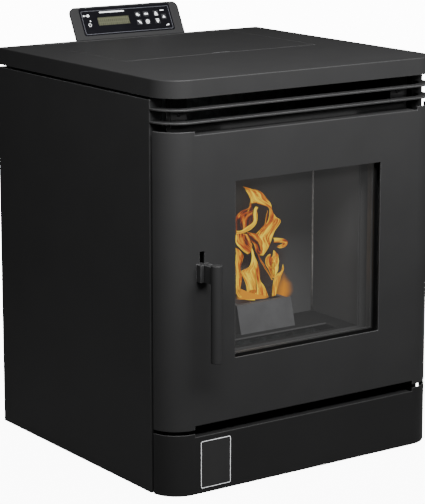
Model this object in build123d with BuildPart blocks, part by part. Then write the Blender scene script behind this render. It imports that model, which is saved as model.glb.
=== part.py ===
"""Free-standing pellet stove: sheet-steel cabinet, glazed fire door, hopper, auger and two fans.

The door faces -Y, +Z is up and +X is the right-hand side seen from the front. The origin is on the
floor, under the middle of the cabinet. Lengths are in millimetres.
"""

import os
from math import cos, radians, sin, tan

from build123d import *

os.makedirs("parts", exist_ok=True)

# ---------------------------------------------------------------- driving dimensions

# Cabinet
width = 600.0
depth = 570.0
body_height = 725.0
foot_height = 10.0
corner_radius = 52.0
panel_sheet = 2.0
side_fold_radius = 1.2
top_sheet = 3.0
rim_depth = 31.0
top_edge_radius = 1.6
rim_gap = 5.0
chassis_setback = 53.0
front_flange = 25.0
rear_flange = 15.0
rear_fit = 0.3
rear_step = 28.0
tray_flange = 28.0
chassis_inset = 36.0
ear_width = 24.0
ear_height = 45.0
ear_from_door = 90.0
frame_opening_low = 4.0
frame_opening_high = 5.0
frame_opening_gap = 1.0

# Levelling feet
foot_inset_x = 50.0
foot_inset_y = 80.0
foot_pad_radius = 18.0
foot_pad_height = 5.0
foot_stud_radius = 4.0
foot_hex = 17.0
foot_stud_length = 20.0
foot_hole_clearance = 0.2
foot_chamfer = 1.0

# Plinth and its bare badge plate
plinth_height = 104.0
wrap_depth = 45.5
corner_overhang = 6.0
fold_flange = 25.0
relief = 4.0
fold_radius = 1.8
badge_width = 64.0
badge_height = 86.0
badge_inset = 67.0
badge_low = 9.0
badge_thickness = 1.0
badge_corner = 4.0
badge_chamfer = 0.3

# Louvre and hot-air outlet
slat_sheet = 3.0
slat_depth = 20.0
slat_pitch = 22.0
outlet_inset = 38.0
outlet_height = 45.0
outlet_drop = 4.0
louvre_bracket_width = 32.0
louvre_bracket_lap = 2.0
louvre_bracket_below = 12.0
louvre_bracket_above = 10.0
louvre_screw_drop = 34.0
screw_head_radius = 4.5
screw_head_height = 2.4
screw_shank_radius = 2.5
rear_screw_inset = 8.0
rear_screw_low = 60.0
rear_screw_pitch = 190.0

# Door
door_bottom = 133.0
door_height = 508.0
door_sheet = 3.0
window_side_margin = 140.0
window_height = 311.0
window_low = 243.0
window_corner = 1.5
glass_recess = 16.0
glass_thickness = 4.0
glass_lap = 1.0
glass_lip = 3.0
glass_play = 0.1
glass_edge_gap = 0.5
channel_wall = 2.0
box_margin = 28.0
box_depth = 38.0
rope_width = 12.0
rope_margin = 10.0
rope_round = 4.0
seal_clearance = 0.3
hinge_inset = 12.5
hinge_setback = 33.0
hinge_low = 27.0
hinge_high = 33.0
hinge_pin_radius = 3.0
hinge_pin_rise = 12.0
hinge_boss_radius = 4.7
hinge_plate = 5.0
hinge_arm_reach = 32.0
hinge_arm_width = 9.0
eye_width = 17.2
eye_depth = 22.0
eye_forward = 5.0
running_clearance = 0.05

# Door handle and latch
handle_inset = 71.0
handle_axis_out = 43.0
handle_radius = 10.0
handle_above = 20.0
handle_length = 170.0
handle_round = 1.0
lever_thickness = 8.0
lever_half_height = 15.0
lever_height = 271.0
lever_pivot_in = 40.0
lever_pivot_wall = 7.0
lever_pin_radius = 4.0
lever_play = 0.3
latch_reach = 29.0
latch_thickness = 11.0
slot_width = 10.0
slot_above = 36.0
slot_below = 1.0
slot_corner = 1.5
cheek_width = 7.0
cheek_depth = 13.0
bracket_root_lap = 1.0
bracket_half_width = 16.0
bracket_margin = 8.0
bracket_sheet = 3.0
bracket_ear_half = 8.0
bracket_ear_half_height = 14.0
bracket_ear_past = 8.0
bracket_slot_gap = 0.5
latch_slot_width = 16.0
latch_slot_height = 46.0
latch_slot_drop = 11.0
keeper_radius = 4.0
keeper_setback = 8.0
keeper_cheek_in = 10.0
keeper_cheek = 3.0
keeper_cheek_depth = 16.0
keeper_cheek_below = 8.0
keeper_cheek_above = 12.0

# Firebox
chamber_depth = 143.0
chamber_floor = 242.0
chamber_height = 361.0
fire_opening_height = 315.0
fire_flange = 30.0
firebox_sheet = 3.0
liner_side = 5.0
liner_rear = 8.0
liner_joint = 0.2
smoke_room = 33.0
smoke_slot_depth = 48.0
smoke_slot_behind = 8.0
smoke_slot_rise = 8.0
baffle_sheet = 4.0
baffle_side_gap = 0.5
baffle_front_gap = 20.0
baffle_rear_gap = 22.0
baffle_corner = 12.0
flange_drop = 28.0
ash_slot_half = 120.0
ash_slot_setback = 8.0
ash_slot_depth = 40.0
ash_floor = 140.0
ash_pan_height = 70.0
ash_pan_clearance = 10.0
ash_pan_behind = 15.0
pan_sheet = 1.5
pan_front_lap = 20.0
pan_front_below = 8.0
pan_front_gap = 1.0
pan_grip_width = 110.0
pan_grip_height = 14.0
pan_grip_wall = 4.0
pan_grip_end_wall = 6.0
pan_grip_web_inset = 15.0
pan_grip_out = 12.0
pan_grip_rise = 30.0

# Burner
burner_half_width = 61.0
burner_setback = 64.0
burner_lean = 15.0
burner_plate_rise = 51.0
burner_plate = 2.6
burner_plate_past = 4.2
burner_plate_lap = 2.0
burner_sheet = 2.5
pot_half_width = 51.0
pot_half_depth = 19.0
pot_depth = 34.0
pot_forward = 28.0
pot_wall = 3.0
pot_rim_side = 6.0
pot_rim_front = 5.0
pot_play = 1.0
pot_hole_radius = 2.5
pot_floor_pitch = 11.0
pot_wall_pitch = 13.0
pot_wall_holes_drop = 14.0
igniter_radius = 5.0
igniter_x = 38.0
igniter_flange_radius = 12.0
igniter_flange = 4.0
igniter_tail = 67.0
intake_radius = 21.0
intake_wall = 1.5
intake_rise = 23.0
intake_stub = 36.0
intake_flange = 4.0
intake_bead = 0.8
intake_hole_play = 0.2

# Hopper and lid
lid_side_margin = 86.5
lid_front_margin = 263.5
lid_rear_margin = 23.0
lid_sheet = 2.0
lid_gap = 1.5
lid_corner = 2.0
lid_skirt_depth = 9.0
lid_skirt_gap = 4.0
lid_skirt_sheet = 1.5
notch_width = 42.0
notch_depth = 9.0
notch_room = 1.0
hopper_side_inset = 13.5
hopper_front_inset = 16.5
hopper_rear_inset = 12.0
hopper_sheet = 1.5
hopper_straight_depth = 172.0
hopper_funnel_depth = 118.0
hopper_flange_side = 16.5
hopper_flange_front = 15.0
hopper_flange_rear = 1.0
seal_inner = 4.5
seal_width = 4.0
seal_front_inner = 3.0
seal_squeeze = 0.2
throat_half = 35.0
throat_back = 100.0
throat_length = 90.0
lid_barrel_radius = 3.0
lid_barrel_gap = 0.5
lid_pin_radius = 1.5
lid_leaf = 2.0
lid_leaf_width = 8.0
lid_leaf_gap = 1.0
lid_opening_gap = 1.0
lid_hinge_inset = 1.5
lid_knuckle_in = 60.0
lid_knuckle_out = 150.0
knuckle_gap = 0.3

# Auger and chute
auger_slope = 35.0
auger_ahead = 180.0
auger_above = 70.0
auger_length = 286.0
auger_radius = 31.0
auger_wall = 2.0
auger_inlet_width = 52.0
auger_inlet_length = 60.0
auger_inlet_shift = 6.0
auger_outlet_width = 50.0
auger_outlet_length = 46.0
auger_outlet_start = 21.0
auger_cut_depth = 3.0
screw_radius = 27.5
screw_shaft_radius = 7.0
screw_shaft_past = 22.0
screw_pitch = 45.0
screw_turns = 5.4
screw_start = 14.0
flight_thickness = 3.0
flight_root = 0.6
motor_side = 62.0
motor_length = 54.0
motor_corner = 6.0
motor_bore_past = 1.0
chute_half_width = 30.0
chute_sheet = 2.0
chute_height = 60.0
chute_low = 328.0
chute_back_out = 50.0
chute_knee_out = 10.0
chute_back_drop = 30.0
chute_knee_drop = 12.0
chute_through = 30.0
chute_mouth_cut = 5.0

# Exhaust fan and flue
fan_from_rear = 165.0
fan_z = 115.0
fan_radius = 75.0
fan_width = 84.0
fan_sheet = 2.0
fan_outlet_reach = 85.0
fan_outlet_height = 82.0
fan_eye_radius = 35.0
fan_shaft_hole = 12.0
fan_foot_spread = 35.0
fan_foot_sheet = 2.0
fan_foot_width = 24.0
fan_foot_length = 14.0
fan_foot_joint = 10.6
impeller_radius = 55.0
impeller_depth = 35.0
impeller_blades = 12
impeller_gap = 10.0
impeller_disc = 2.0
impeller_hub_radius = 11.0
impeller_hub_short = 5.0
blade_length = 27.0
blade_inset = 0.5
blade_sheet = 2.0
blade_turn = 18.0
fan_shaft_radius = 4.0
fan_shaft_behind = 30.0
fan_shaft_bore = 32.0
fan_motor_radius = 38.0
fan_motor_length = 60.0
fan_motor_flange = 8.0
fan_motor_flange_sheet = 2.0
smoke_duct_width = 37.0
smoke_duct_depth = 58.0
smoke_duct_behind = 2.0
smoke_duct_past_fan = 45.0
smoke_duct_sheet = 2.0
smoke_duct_foot = 80.0
flue_radius = 40.0
flue_wall = 1.5
flue_stub = 52.0
flue_flange = 10.0
flue_flange_sheet = 2.0
flue_bead = 1.5
flue_hole_play = 0.5
bead_length = 4.0

# Room-air fan
room_fan_from_rear = 70.0
room_fan_left = -240.0
room_fan_right = -20.0
room_fan_box = 110.0
room_fan_sheet = 1.5
room_fan_margin = 8.0
room_fan_inlet_edge = 12.0
room_fan_outlet_depth = 42.0
drum_radius = 38.0
drum_blades = 24
drum_end_gap = 10.0
drum_disc = 2.0
vane_length = 7.0
vane_sheet = 1.2
vane_inset = 1.0
vane_turn = 35.0
room_motor_radius = 30.0
room_motor_length = 40.0
room_shaft_past = 20.0
room_shaft_bore = 21.0
grille_slots = 16
grille_pitch = 12.0
grille_slot_length = 76.0
grille_slot_width = 5.0

# Power inlet
inlet_inset = 65.0
inlet_z = 200.0
inlet_half_width = 14.0
inlet_below = 23.0
inlet_above = 27.0
inlet_depth = 30.0
inlet_lip = 3.0
inlet_lip_below = 7.0
inlet_lip_above = 4.0
inlet_lip_out = 1.0
inlet_hole_gap = 1.0
socket_drop = 11.0
socket_half_width = 12.0
socket_half_height = 8.0
socket_depth = 15.0
socket_pin = 2.0
socket_pin_height = 4.0
socket_pin_short = 6.0
socket_pins = ((-7, -2), (0, 3), (7, -2))
rocker_rise = 14.0
rocker_half = 8.5
rocker_width = 20.0
rocker_swing = 16.0
rocker_side_gap = 0.4
rocker_end_gap = 1.2
rocker_well = 14.0
rocker_axis_in = 4.0
rocker_pin_radius = 1.2
rocker_pin_length = 1.6
rocker_pin_hole = 2.0
rocker_tip_out = 4.2
rocker_dip_out = 2.6
rocker_root_half = 4.0
rocker_root_in = 6.0

# Control panel
panel_width = 250.0
panel_rise = 67.0
panel_lean = 27.0
panel_thickness = 24.0
panel_corner = 13.0
panel_plate = 4.0
case_width = 220.0
case_corner = 3.0
fascia_width = 209.0
fascia_height = 56.5
fascia_low = 7.5
fascia_corner = 4.0
fascia_proud = 0.3
fascia_play = 0.2
fascia_tongue_side = 2.0
fascia_tongue_end = 0.8
case_tail = 14.0
case_bracket_half = 60.0
case_bracket_depth = 14.0
case_bracket_drop = 18.0
board_margin = 6.0
board_end_margin = 4.0
board_sheet = 1.6
board_behind = 3.4
module_margin = 4.0
module_end_margin = 3.0
screen_play = 0.2
screen_sunk = 0.8
screen_width = 72.0
screen_height = 17.0
screen_x = -31.0
screen_y = 35.7
key_width = 12.0
key_height = 11.0
key_corner = 1.5
key_gap = 0.15
key_travel = 0.5
key_flange = 1.0
key_flange_sheet = 1.2
key_stem_radius = 2.5
key_stem_length = 2.2
keys = {
    "key_menu": (26.5, 44.4),
    "key_timer": (45.5, 44.4),
    "key_fan": (26.5, 28.2),
    "key_fuel": (45.5, 28.2),
    "key_up": (69.0, 44.4),
    "key_down": (69.0, 28.2),
    "key_enter": (85.5, 36.3),
}

# ---------------------------------------------------------------- derived places

side_x = width / 2
front_y = -depth / 2
rear_y = depth / 2
bottom_z = foot_height
top_z = foot_height + body_height
top_under = top_z - top_sheet
rim_low = top_z - rim_depth
side_top = rim_low - rim_gap
wrap_y = front_y + wrap_depth
flange_y = front_y + chassis_setback
frame_y = flange_y + panel_sheet
frame_back = frame_y + panel_sheet
rear_panel_y = rear_y - panel_sheet
flat_half = side_x - corner_radius
fold_half = flat_half - 2 * relief
door_top = door_bottom + door_height
window_half = side_x - window_side_margin
window_width = 2 * window_half
chamber_half_width = window_half
window_z = window_low + window_height / 2
chassis_half = side_x - chassis_inset
outlet_half = chassis_half - outlet_inset
louvre_bracket_x = outlet_half - louvre_bracket_lap
louvre_screw_x = louvre_bracket_x + louvre_bracket_width / 2
glass_front = front_y + glass_recess
box_front = front_y + door_sheet
box_back = front_y + box_depth
seal_face = frame_y - firebox_sheet
hinge_x = side_x - hinge_inset
hinge_y = front_y + hinge_setback
hinge_levels = (door_bottom + hinge_low, door_top - hinge_high)
handle_x = handle_inset - side_x
pivot_y = front_y + lever_pivot_in
lever_pivot_z = door_bottom + lever_height
handle_top = lever_pivot_z + handle_above
slot_top = lever_pivot_z + slot_above
chamber_front = frame_y
chamber_back = chamber_front + chamber_depth
chamber_top = chamber_floor + chamber_height
liner_face = chamber_back - liner_rear
baffle_low = chamber_top - smoke_room
firebox_half = chamber_half_width + firebox_sheet
firebox_rear = chamber_back + firebox_sheet
handle_y = front_y - handle_axis_out
burner_front_y = chamber_front + burner_setback
burner_back_y = liner_face
pot_y = burner_back_y - pot_forward
intake_z = chamber_floor + intake_rise
intake_end = rear_y + intake_stub
lid_half_width = side_x - lid_side_margin
lid_front = front_y + lid_front_margin
lid_back = rear_y - lid_rear_margin
lid_hinge_half = lid_half_width - lid_hinge_inset
lid_axis_y = lid_back + lid_barrel_radius + lid_barrel_gap
hopper_half_width = lid_half_width - hopper_side_inset
hopper_front = lid_front + hopper_front_inset
hopper_back = lid_back - hopper_rear_inset
hopper_straight_low = top_under - hopper_straight_depth
throat_top = hopper_straight_low - hopper_funnel_depth
throat_y = hopper_back - throat_back
auger_top_y = throat_y - auger_ahead
auger_top_z = throat_top + auger_above
chute_back = auger_top_y + chute_back_out
chute_knee = auger_top_y - chute_knee_out
lid_axis_z = top_z - lid_barrel_radius
lean = radians(panel_lean)
slope = radians(auger_slope)
duct_left = firebox_half
duct_right = firebox_half + smoke_duct_width
fan_y = rear_y - fan_from_rear
smoke_duct_back = fan_y + smoke_duct_past_fan
fan_right = firebox_half
fan_left = fan_right - fan_width
flue_x = (fan_left + fan_right) / 2
flue_z = fan_z + fan_radius - fan_outlet_height / 2
flue_end = rear_y + flue_stub
fan_outlet_y = fan_y + fan_outlet_reach
room_fan_y = rear_y - room_fan_from_rear
room_fan_z = bottom_z + panel_sheet + room_fan_box / 2
inlet_x = inlet_inset - side_x
rocker_z = inlet_z + rocker_rise

auger_plane = Plane(
    origin=(0, auger_top_y, auger_top_z), x_dir=(1, 0, 0), z_dir=(0, cos(slope), -sin(slope))
)
panel_plane = Plane(origin=(0, rear_y, top_z), x_dir=(1, 0, 0), z_dir=(0, -cos(lean), sin(lean)))


def block(x, y, z, mode=Mode.ADD):
    """Box between the pairs of limits x, y and z."""
    with Locations(((x[0] + x[1]) / 2, (y[0] + y[1]) / 2, (z[0] + z[1]) / 2)):
        Box(x[1] - x[0], y[1] - y[0], z[1] - z[0], mode=mode)


def upright(y):
    """Plane that faces the front, at depth y."""
    return Plane.XZ.offset(-y)


def plan_outline(inset=0.0):
    """Plan of the cabinet drawn in by inset, with its two front corners rounded."""
    with BuildSketch() as outline:
        Rectangle(width - 2 * inset, depth - 2 * inset)
        fillet(outline.vertices().group_by(Axis.Y)[0], corner_radius - inset)
    return outline.sketch


def wrap_band(low, high, thickness, back, inset=0.0):
    """Sheet that follows the front and its two rounded corners, as far back as the depth back."""
    with BuildPart() as band:
        with BuildSketch(Plane.XY.offset(low)):
            add(plan_outline(inset))
            add(plan_outline(inset + thickness), mode=Mode.SUBTRACT)
            with Locations((0, (front_y + back) / 2)):
                Rectangle(width, back - front_y, mode=Mode.INTERSECT)
        extrude(amount=high - low)
    return band.part


def window_ring(front, back, inner, outer):
    """Rectangular ring round the window, between two depths and two margins from its edge."""
    with BuildPart() as ring:
        with BuildSketch(upright(back)):
            with Locations((0, window_z)):
                Rectangle(window_width + 2 * outer, window_height + 2 * outer)
                Rectangle(
                    window_width + 2 * inner, window_height + 2 * inner, mode=Mode.SUBTRACT
                )
        extrude(amount=back - front)
    return ring.part


def folded_skin(low, high, sheet, cut_low, cut_high, low_flange):
    """Front skin with rounded ends, its flat part folded back at the bottom and the top.

    The rounded ends run past the folds by the corner overhang where cut_low or cut_high is set.
    """
    with BuildPart() as skin:
        ends_low = low - corner_overhang * cut_low
        ends_high = high + corner_overhang * cut_high
        add(wrap_band(ends_low, ends_high, sheet, wrap_y))
        flat = (-fold_half - relief, fold_half + relief)
        if cut_low:
            block(flat, (front_y, front_y + sheet), (ends_low, low), mode=Mode.SUBTRACT)
        if cut_high:
            block(flat, (front_y, front_y + sheet), (high, ends_high), mode=Mode.SUBTRACT)
        block((-fold_half, fold_half), (front_y, front_y + low_flange), (low, low + sheet))
        block((-fold_half, fold_half), (front_y, front_y + fold_flange), (high - sheet, high))
        folds = skin.edges().filter_by(Axis.X)
        folds = folds.filter_by(lambda e: abs(e.center().Y - front_y) < 0.01)
        folds = folds.filter_by(lambda e: e.length > 2 * fold_half - 1)
        fillet(folds, fold_radius)
    return skin.part


def finish(piece, name):
    """Label a finished piece and write it."""
    piece.part.label = name
    export_step(piece.part, f"parts/{name}.step")


# ---------------------------------------------------------------- cabinet

with BuildPart() as base_tray:
    tray_half = side_x - panel_sheet
    tray_y = (frame_back, rear_panel_y - panel_sheet)
    tray_top = bottom_z + tray_flange
    block((-tray_half, tray_half), tray_y, (bottom_z, tray_top))
    block(
        (-tray_half + panel_sheet, tray_half - panel_sheet),
        (tray_y[0] + panel_sheet, tray_y[1] - panel_sheet),
        (bottom_z + panel_sheet, tray_top),
        mode=Mode.SUBTRACT,
    )
    with BuildSketch(Plane.XY.offset(bottom_z)):
        with GridLocations(width - 2 * foot_inset_x, depth - 2 * foot_inset_y, 2, 2):
            Circle(foot_stud_radius + foot_hole_clearance)
    extrude(amount=panel_sheet, mode=Mode.SUBTRACT)
finish(base_tray, "base_tray")

with BuildPart() as levelling_feet:
    with GridLocations(width - 2 * foot_inset_x, depth - 2 * foot_inset_y, 2, 2):
        Cylinder(foot_pad_radius, foot_pad_height, align=(Align.CENTER, Align.CENTER, Align.MIN))
    with BuildSketch(Plane.XY.offset(foot_pad_height)):
        with GridLocations(width - 2 * foot_inset_x, depth - 2 * foot_inset_y, 2, 2):
            RegularPolygon(foot_hex / 2, 6, major_radius=False)
    extrude(amount=bottom_z - foot_pad_height)
    with BuildSketch(Plane.XY.offset(bottom_z)):
        with GridLocations(width - 2 * foot_inset_x, depth - 2 * foot_inset_y, 2, 2):
            Circle(foot_stud_radius)
    extrude(amount=foot_stud_length)
    chamfer(levelling_feet.faces().sort_by(Axis.Z)[0:4].edges(), foot_chamfer)
finish(levelling_feet, "levelling_feet")

for name, side in (("left_side_panel", -1), ("right_side_panel", 1)):
    with BuildPart() as side_panel:
        web = sorted((side * side_x, side * (side_x - panel_sheet)))
        block(web, (flange_y, rear_y), (bottom_z, side_top))
        lip = sorted((side * side_x, side * (side_x - front_flange)))
        block(lip, (flange_y, frame_y), (bottom_z, side_top))
        lip = sorted((side * side_x, side * (side_x - rear_flange)))
        block(lip, (rear_panel_y, rear_y), (bottom_z, side_top))
        lip = sorted((side * side_x, side * (side_x - rear_flange)))
        block(lip, (frame_back, rear_panel_y - panel_sheet), (side_top - panel_sheet, side_top))
        outer_folds = side_panel.edges().filter_by(Axis.Z)
        outer_folds = outer_folds.filter_by(lambda e: abs(abs(e.center().X) - side_x) < 0.01)
        fillet(outer_folds, side_fold_radius)
    finish(side_panel, name)

with BuildPart() as front_frame:
    with BuildSketch(upright(frame_back)):
        with Locations((0, (bottom_z + top_under) / 2)):
            Rectangle(2 * chassis_half, top_under - bottom_z)
        for level in (bottom_z + plinth_height / 2, door_bottom + ear_from_door, door_top - ear_from_door):
            with Locations((0, level)):
                Rectangle(2 * (chassis_half + ear_width), ear_height)
        opening_low = ash_floor - frame_opening_low
        opening_high = chamber_top + frame_opening_high
        with Locations((0, (opening_low + opening_high) / 2)):
            Rectangle(
                2 * (firebox_half + frame_opening_gap), opening_high - opening_low, mode=Mode.SUBTRACT
            )
        with Locations((0, rim_low - outlet_drop - outlet_height / 2)):
            Rectangle(2 * outlet_half, outlet_height, mode=Mode.SUBTRACT)
        with Locations((handle_x, lever_pivot_z - latch_slot_drop)):
            Rectangle(latch_slot_width, latch_slot_height, mode=Mode.SUBTRACT)
    extrude(amount=panel_sheet)
    block(
        (-chassis_half, chassis_half),
        (frame_back, frame_back + fold_flange),
        (top_under - panel_sheet, top_under),
    )
finish(front_frame, "front_frame")

with BuildPart() as rear_panel:
    panel_half = side_x - panel_sheet - rear_fit
    with BuildSketch(upright(rear_panel_y)):
        with Locations((0, (bottom_z + side_top) / 2)):
            Rectangle(2 * panel_half, side_top - bottom_z)
        with Locations((0, (side_top + top_under) / 2)):
            Rectangle(2 * (panel_half - rear_step), top_under - side_top)
        with Locations((flue_x, flue_z)):
            Circle(flue_radius + flue_bead + flue_hole_play, mode=Mode.SUBTRACT)
        with Locations((0, intake_z)):
            Circle(intake_radius + intake_bead + intake_hole_play, mode=Mode.SUBTRACT)
        with Locations((inlet_x, inlet_z + (inlet_above - inlet_below) / 2)):
            Rectangle(
                2 * (inlet_half_width + inlet_hole_gap),
                inlet_above + inlet_below + 2 * inlet_hole_gap,
                mode=Mode.SUBTRACT,
            )
        with Locations(((room_fan_left + room_fan_right) / 2, room_fan_z)):
            with GridLocations(grille_pitch, 0, grille_slots, 1):
                SlotOverall(grille_slot_length, grille_slot_width, rotation=90, mode=Mode.SUBTRACT)
    extrude(amount=panel_sheet)
finish(rear_panel, "rear_panel")

with BuildPart() as top_plate:
    with BuildSketch(Plane.XY.offset(rim_low)):
        add(plan_outline())
    extrude(amount=rim_depth)
    fillet(top_plate.faces().sort_by(Axis.Z)[-1].edges(), top_edge_radius)
    with BuildSketch(Plane.XY.offset(rim_low)):
        add(plan_outline(panel_sheet))
    extrude(amount=rim_depth - top_sheet, mode=Mode.SUBTRACT)
    opening_half = lid_half_width + lid_gap
    opening_back = lid_axis_y + lid_barrel_radius + lid_leaf_gap + lid_opening_gap
    block(
        (-opening_half, opening_half),
        (lid_front - lid_gap, opening_back),
        (top_under, top_z),
        mode=Mode.SUBTRACT,
    )
finish(top_plate, "top_plate")

with BuildPart() as plinth_panel:
    plinth_top = bottom_z + plinth_height
    add(folded_skin(bottom_z, plinth_top, panel_sheet, 0, 1, chassis_setback + panel_sheet))
finish(plinth_panel, "plinth_panel")

with BuildPart() as badge_plate:
    badge_x = badge_inset - side_x + badge_width / 2
    with BuildSketch(upright(front_y)):
        with Locations((badge_x, bottom_z + badge_low + badge_height / 2)):
            RectangleRounded(badge_width, badge_height, badge_corner)
    extrude(amount=badge_thickness)
    chamfer(badge_plate.faces().sort_by(Axis.Y)[0].edges(), badge_chamfer)
finish(badge_plate, "badge_plate")

with BuildPart() as louvre_slats:
    for step in (1, 2):
        slat_top = door_top + step * slat_pitch
        add(wrap_band(slat_top - slat_sheet, slat_top, slat_depth, flange_y))
finish(louvre_slats, "louvre_slats")

louvre_brackets_z = (rim_low - outlet_height - louvre_bracket_below, rim_low + louvre_bracket_above)
louvre_screw_z = rim_low - louvre_screw_drop
with BuildPart() as louvre_brackets:
    for side in (-1, 1):
        edge = sorted((side * louvre_bracket_x, side * (louvre_bracket_x + louvre_bracket_width)))
        block(edge, (flange_y, frame_y), louvre_brackets_z)
    with BuildSketch(upright(flange_y)):
        with Locations((-louvre_screw_x, louvre_screw_z), (louvre_screw_x, louvre_screw_z)):
            Circle(screw_shank_radius)
    extrude(amount=-panel_sheet, mode=Mode.SUBTRACT)
finish(louvre_brackets, "louvre_brackets")

with BuildPart() as panel_screws:
    with BuildSketch(upright(flange_y)):
        with Locations((-louvre_screw_x, louvre_screw_z), (louvre_screw_x, louvre_screw_z)):
            Circle(screw_head_radius)
    extrude(amount=screw_head_height)
    with BuildSketch(upright(rear_y)):
        for side in (-1, 1):
            for number in range(4):
                level = bottom_z + rear_screw_low + number * rear_screw_pitch
                with Locations((side * (side_x - rear_screw_inset), level)):
                    Circle(screw_head_radius)
    extrude(amount=-screw_head_height)
finish(panel_screws, "panel_screws")

# ---------------------------------------------------------------- firebox


def chute_profile(sheet, past_mouth):
    """Side view of the chute, drawn in by the sheet, its mouth moved forward by past_mouth."""
    shift = sheet / cos(radians(45))
    mouth_y = firebox_rear - past_mouth
    low = chute_low - past_mouth + shift
    high = chute_low + chute_height - past_mouth - shift
    back = chute_back - sheet
    knee = chute_knee + sheet
    with BuildSketch(Plane.YZ.offset(sheet - chute_half_width)) as profile:
        Polygon(
            (mouth_y, low),
            (back, low + back - mouth_y),
            (back, auger_top_z - chute_back_drop),
            (knee, auger_top_z - chute_knee_drop),
            (knee, high + knee - mouth_y),
            (mouth_y, high),
            align=None,
        )
    return profile.sketch


chute_bore = 2 * (chute_half_width - chute_sheet)
with BuildPart() as firebox_shell:
    shell_z = (ash_floor - firebox_sheet, chamber_top + firebox_sheet)
    block((-firebox_half, firebox_half), (chamber_front, firebox_rear), shell_z)
    block(
        (-chamber_half_width, chamber_half_width),
        (chamber_front, chamber_back),
        (chamber_floor, chamber_top),
        mode=Mode.SUBTRACT,
    )
    block(
        (-chamber_half_width, chamber_half_width),
        (chamber_front, chamber_back),
        (ash_floor, chamber_floor - firebox_sheet),
        mode=Mode.SUBTRACT,
    )
    flange_top = chamber_top + firebox_sheet
    flange_low = chamber_floor - flange_drop
    flange_half = chamber_half_width + fire_flange
    block((-flange_half, flange_half), (seal_face, chamber_front), (flange_low, flange_top))
    opening_half = window_half - glass_lip
    block(
        (-opening_half, opening_half),
        (seal_face, chamber_front),
        (chamber_floor, chamber_floor + fire_opening_height),
        mode=Mode.SUBTRACT,
    )
    extrude(chute_profile(chute_sheet, chute_through), amount=chute_bore, mode=Mode.SUBTRACT)
    with BuildSketch(upright(firebox_rear)):
        with Locations((0, intake_z)):
            Circle(intake_radius)
        with Locations((igniter_x, intake_z)):
            Circle(igniter_radius)
    extrude(amount=firebox_sheet, mode=Mode.SUBTRACT)
    smoke_back = chamber_back - smoke_slot_behind
    smoke_y = (smoke_back - smoke_slot_depth, smoke_back)
    smoke_z = (baffle_low + smoke_slot_rise, chamber_top - firebox_sheet)
    block((chamber_half_width, firebox_half), smoke_y, smoke_z, mode=Mode.SUBTRACT)
    ash_slot_y = (chamber_front + ash_slot_setback, chamber_front + ash_slot_setback + ash_slot_depth)
    ash_slot_z = (chamber_floor - firebox_sheet, chamber_floor)
    block((-ash_slot_half, ash_slot_half), ash_slot_y, ash_slot_z, mode=Mode.SUBTRACT)
finish(firebox_shell, "firebox_shell")

with BuildPart() as firebox_liners:
    liner_z = (chamber_floor, baffle_low)
    inner = chamber_half_width - liner_side
    for side in (-1, 1):
        edge = sorted((side * chamber_half_width, side * inner))
        block(edge, (chamber_front, chamber_back), liner_z)
    block((liner_joint - inner, inner - liner_joint), (liner_face, chamber_back), liner_z)
    extrude(chute_profile(chute_sheet, chute_through), amount=chute_bore, mode=Mode.SUBTRACT)
    with BuildSketch(upright(chamber_back)):
        with Locations((0, intake_z)):
            Circle(intake_radius)
        with Locations((igniter_x, intake_z)):
            Circle(igniter_radius)
    extrude(amount=liner_rear, mode=Mode.SUBTRACT)
finish(firebox_liners, "firebox_liners")

with BuildPart() as baffle_plate:
    baffle_half = chamber_half_width - baffle_side_gap
    block(
        (-baffle_half, baffle_half),
        (chamber_front + baffle_front_gap, chamber_back - baffle_rear_gap),
        (baffle_low, baffle_low + baffle_sheet),
    )
    fillet(baffle_plate.edges().filter_by(Axis.Z), baffle_corner)
finish(baffle_plate, "baffle_plate")

# ---------------------------------------------------------------- burner

lean_run = tan(radians(burner_lean))
housing_top = chamber_floor + burner_plate_rise - burner_plate_past
housing_front = burner_front_y + burner_plate
housing_half = burner_half_width - burner_plate_lap
pot_low = housing_top - pot_depth


def pot_block(side, front, z, mode=Mode.ADD):
    """Box round the pot's middle, larger than the pot by side along x and by front along y."""
    half_x = pot_half_width + side
    half_y = pot_half_depth + front
    block((-half_x, half_x), (pot_y - half_y, pot_y + half_y), z, mode=mode)


def burner_profile(inset):
    """Side view of the burner housing, drawn in by inset on every side, at its left end."""
    low = chamber_floor + inset
    high = housing_top - inset
    front_low = housing_front + inset / cos(radians(burner_lean)) + (low - chamber_floor) * lean_run
    front_high = front_low + (high - low) * lean_run
    back = burner_back_y - inset
    with BuildSketch(Plane.YZ.offset(inset - housing_half)) as profile:
        Polygon((front_low, low), (back, low), (back, high), (front_high, high), align=None)
    return profile.sketch


with BuildPart() as burner_housing:
    extrude(burner_profile(0), amount=2 * housing_half)
    housing_inner = burner_profile(burner_sheet)
    extrude(housing_inner, amount=2 * (housing_half - burner_sheet), mode=Mode.SUBTRACT)
    pot_block(pot_play, pot_play, (housing_top - burner_sheet, housing_top), mode=Mode.SUBTRACT)
    with BuildSketch(upright(burner_back_y)):
        with Locations((0, intake_z)):
            Circle(intake_radius - intake_wall)
        with Locations((igniter_x, intake_z)):
            Circle(igniter_radius)
    extrude(amount=burner_sheet, mode=Mode.SUBTRACT)
finish(burner_housing, "burner_housing")

with BuildPart() as burner_front_plate:
    plate_top = chamber_floor + burner_plate_rise
    with BuildSketch(Plane.YZ):
        Polygon(
            (burner_front_y, chamber_floor),
            (housing_front, chamber_floor),
            (housing_front + burner_plate_rise * lean_run, plate_top),
            (burner_front_y + burner_plate_rise * lean_run, plate_top),
            align=None,
        )
    extrude(amount=burner_half_width, both=True)
finish(burner_front_plate, "burner_front_plate")

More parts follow.
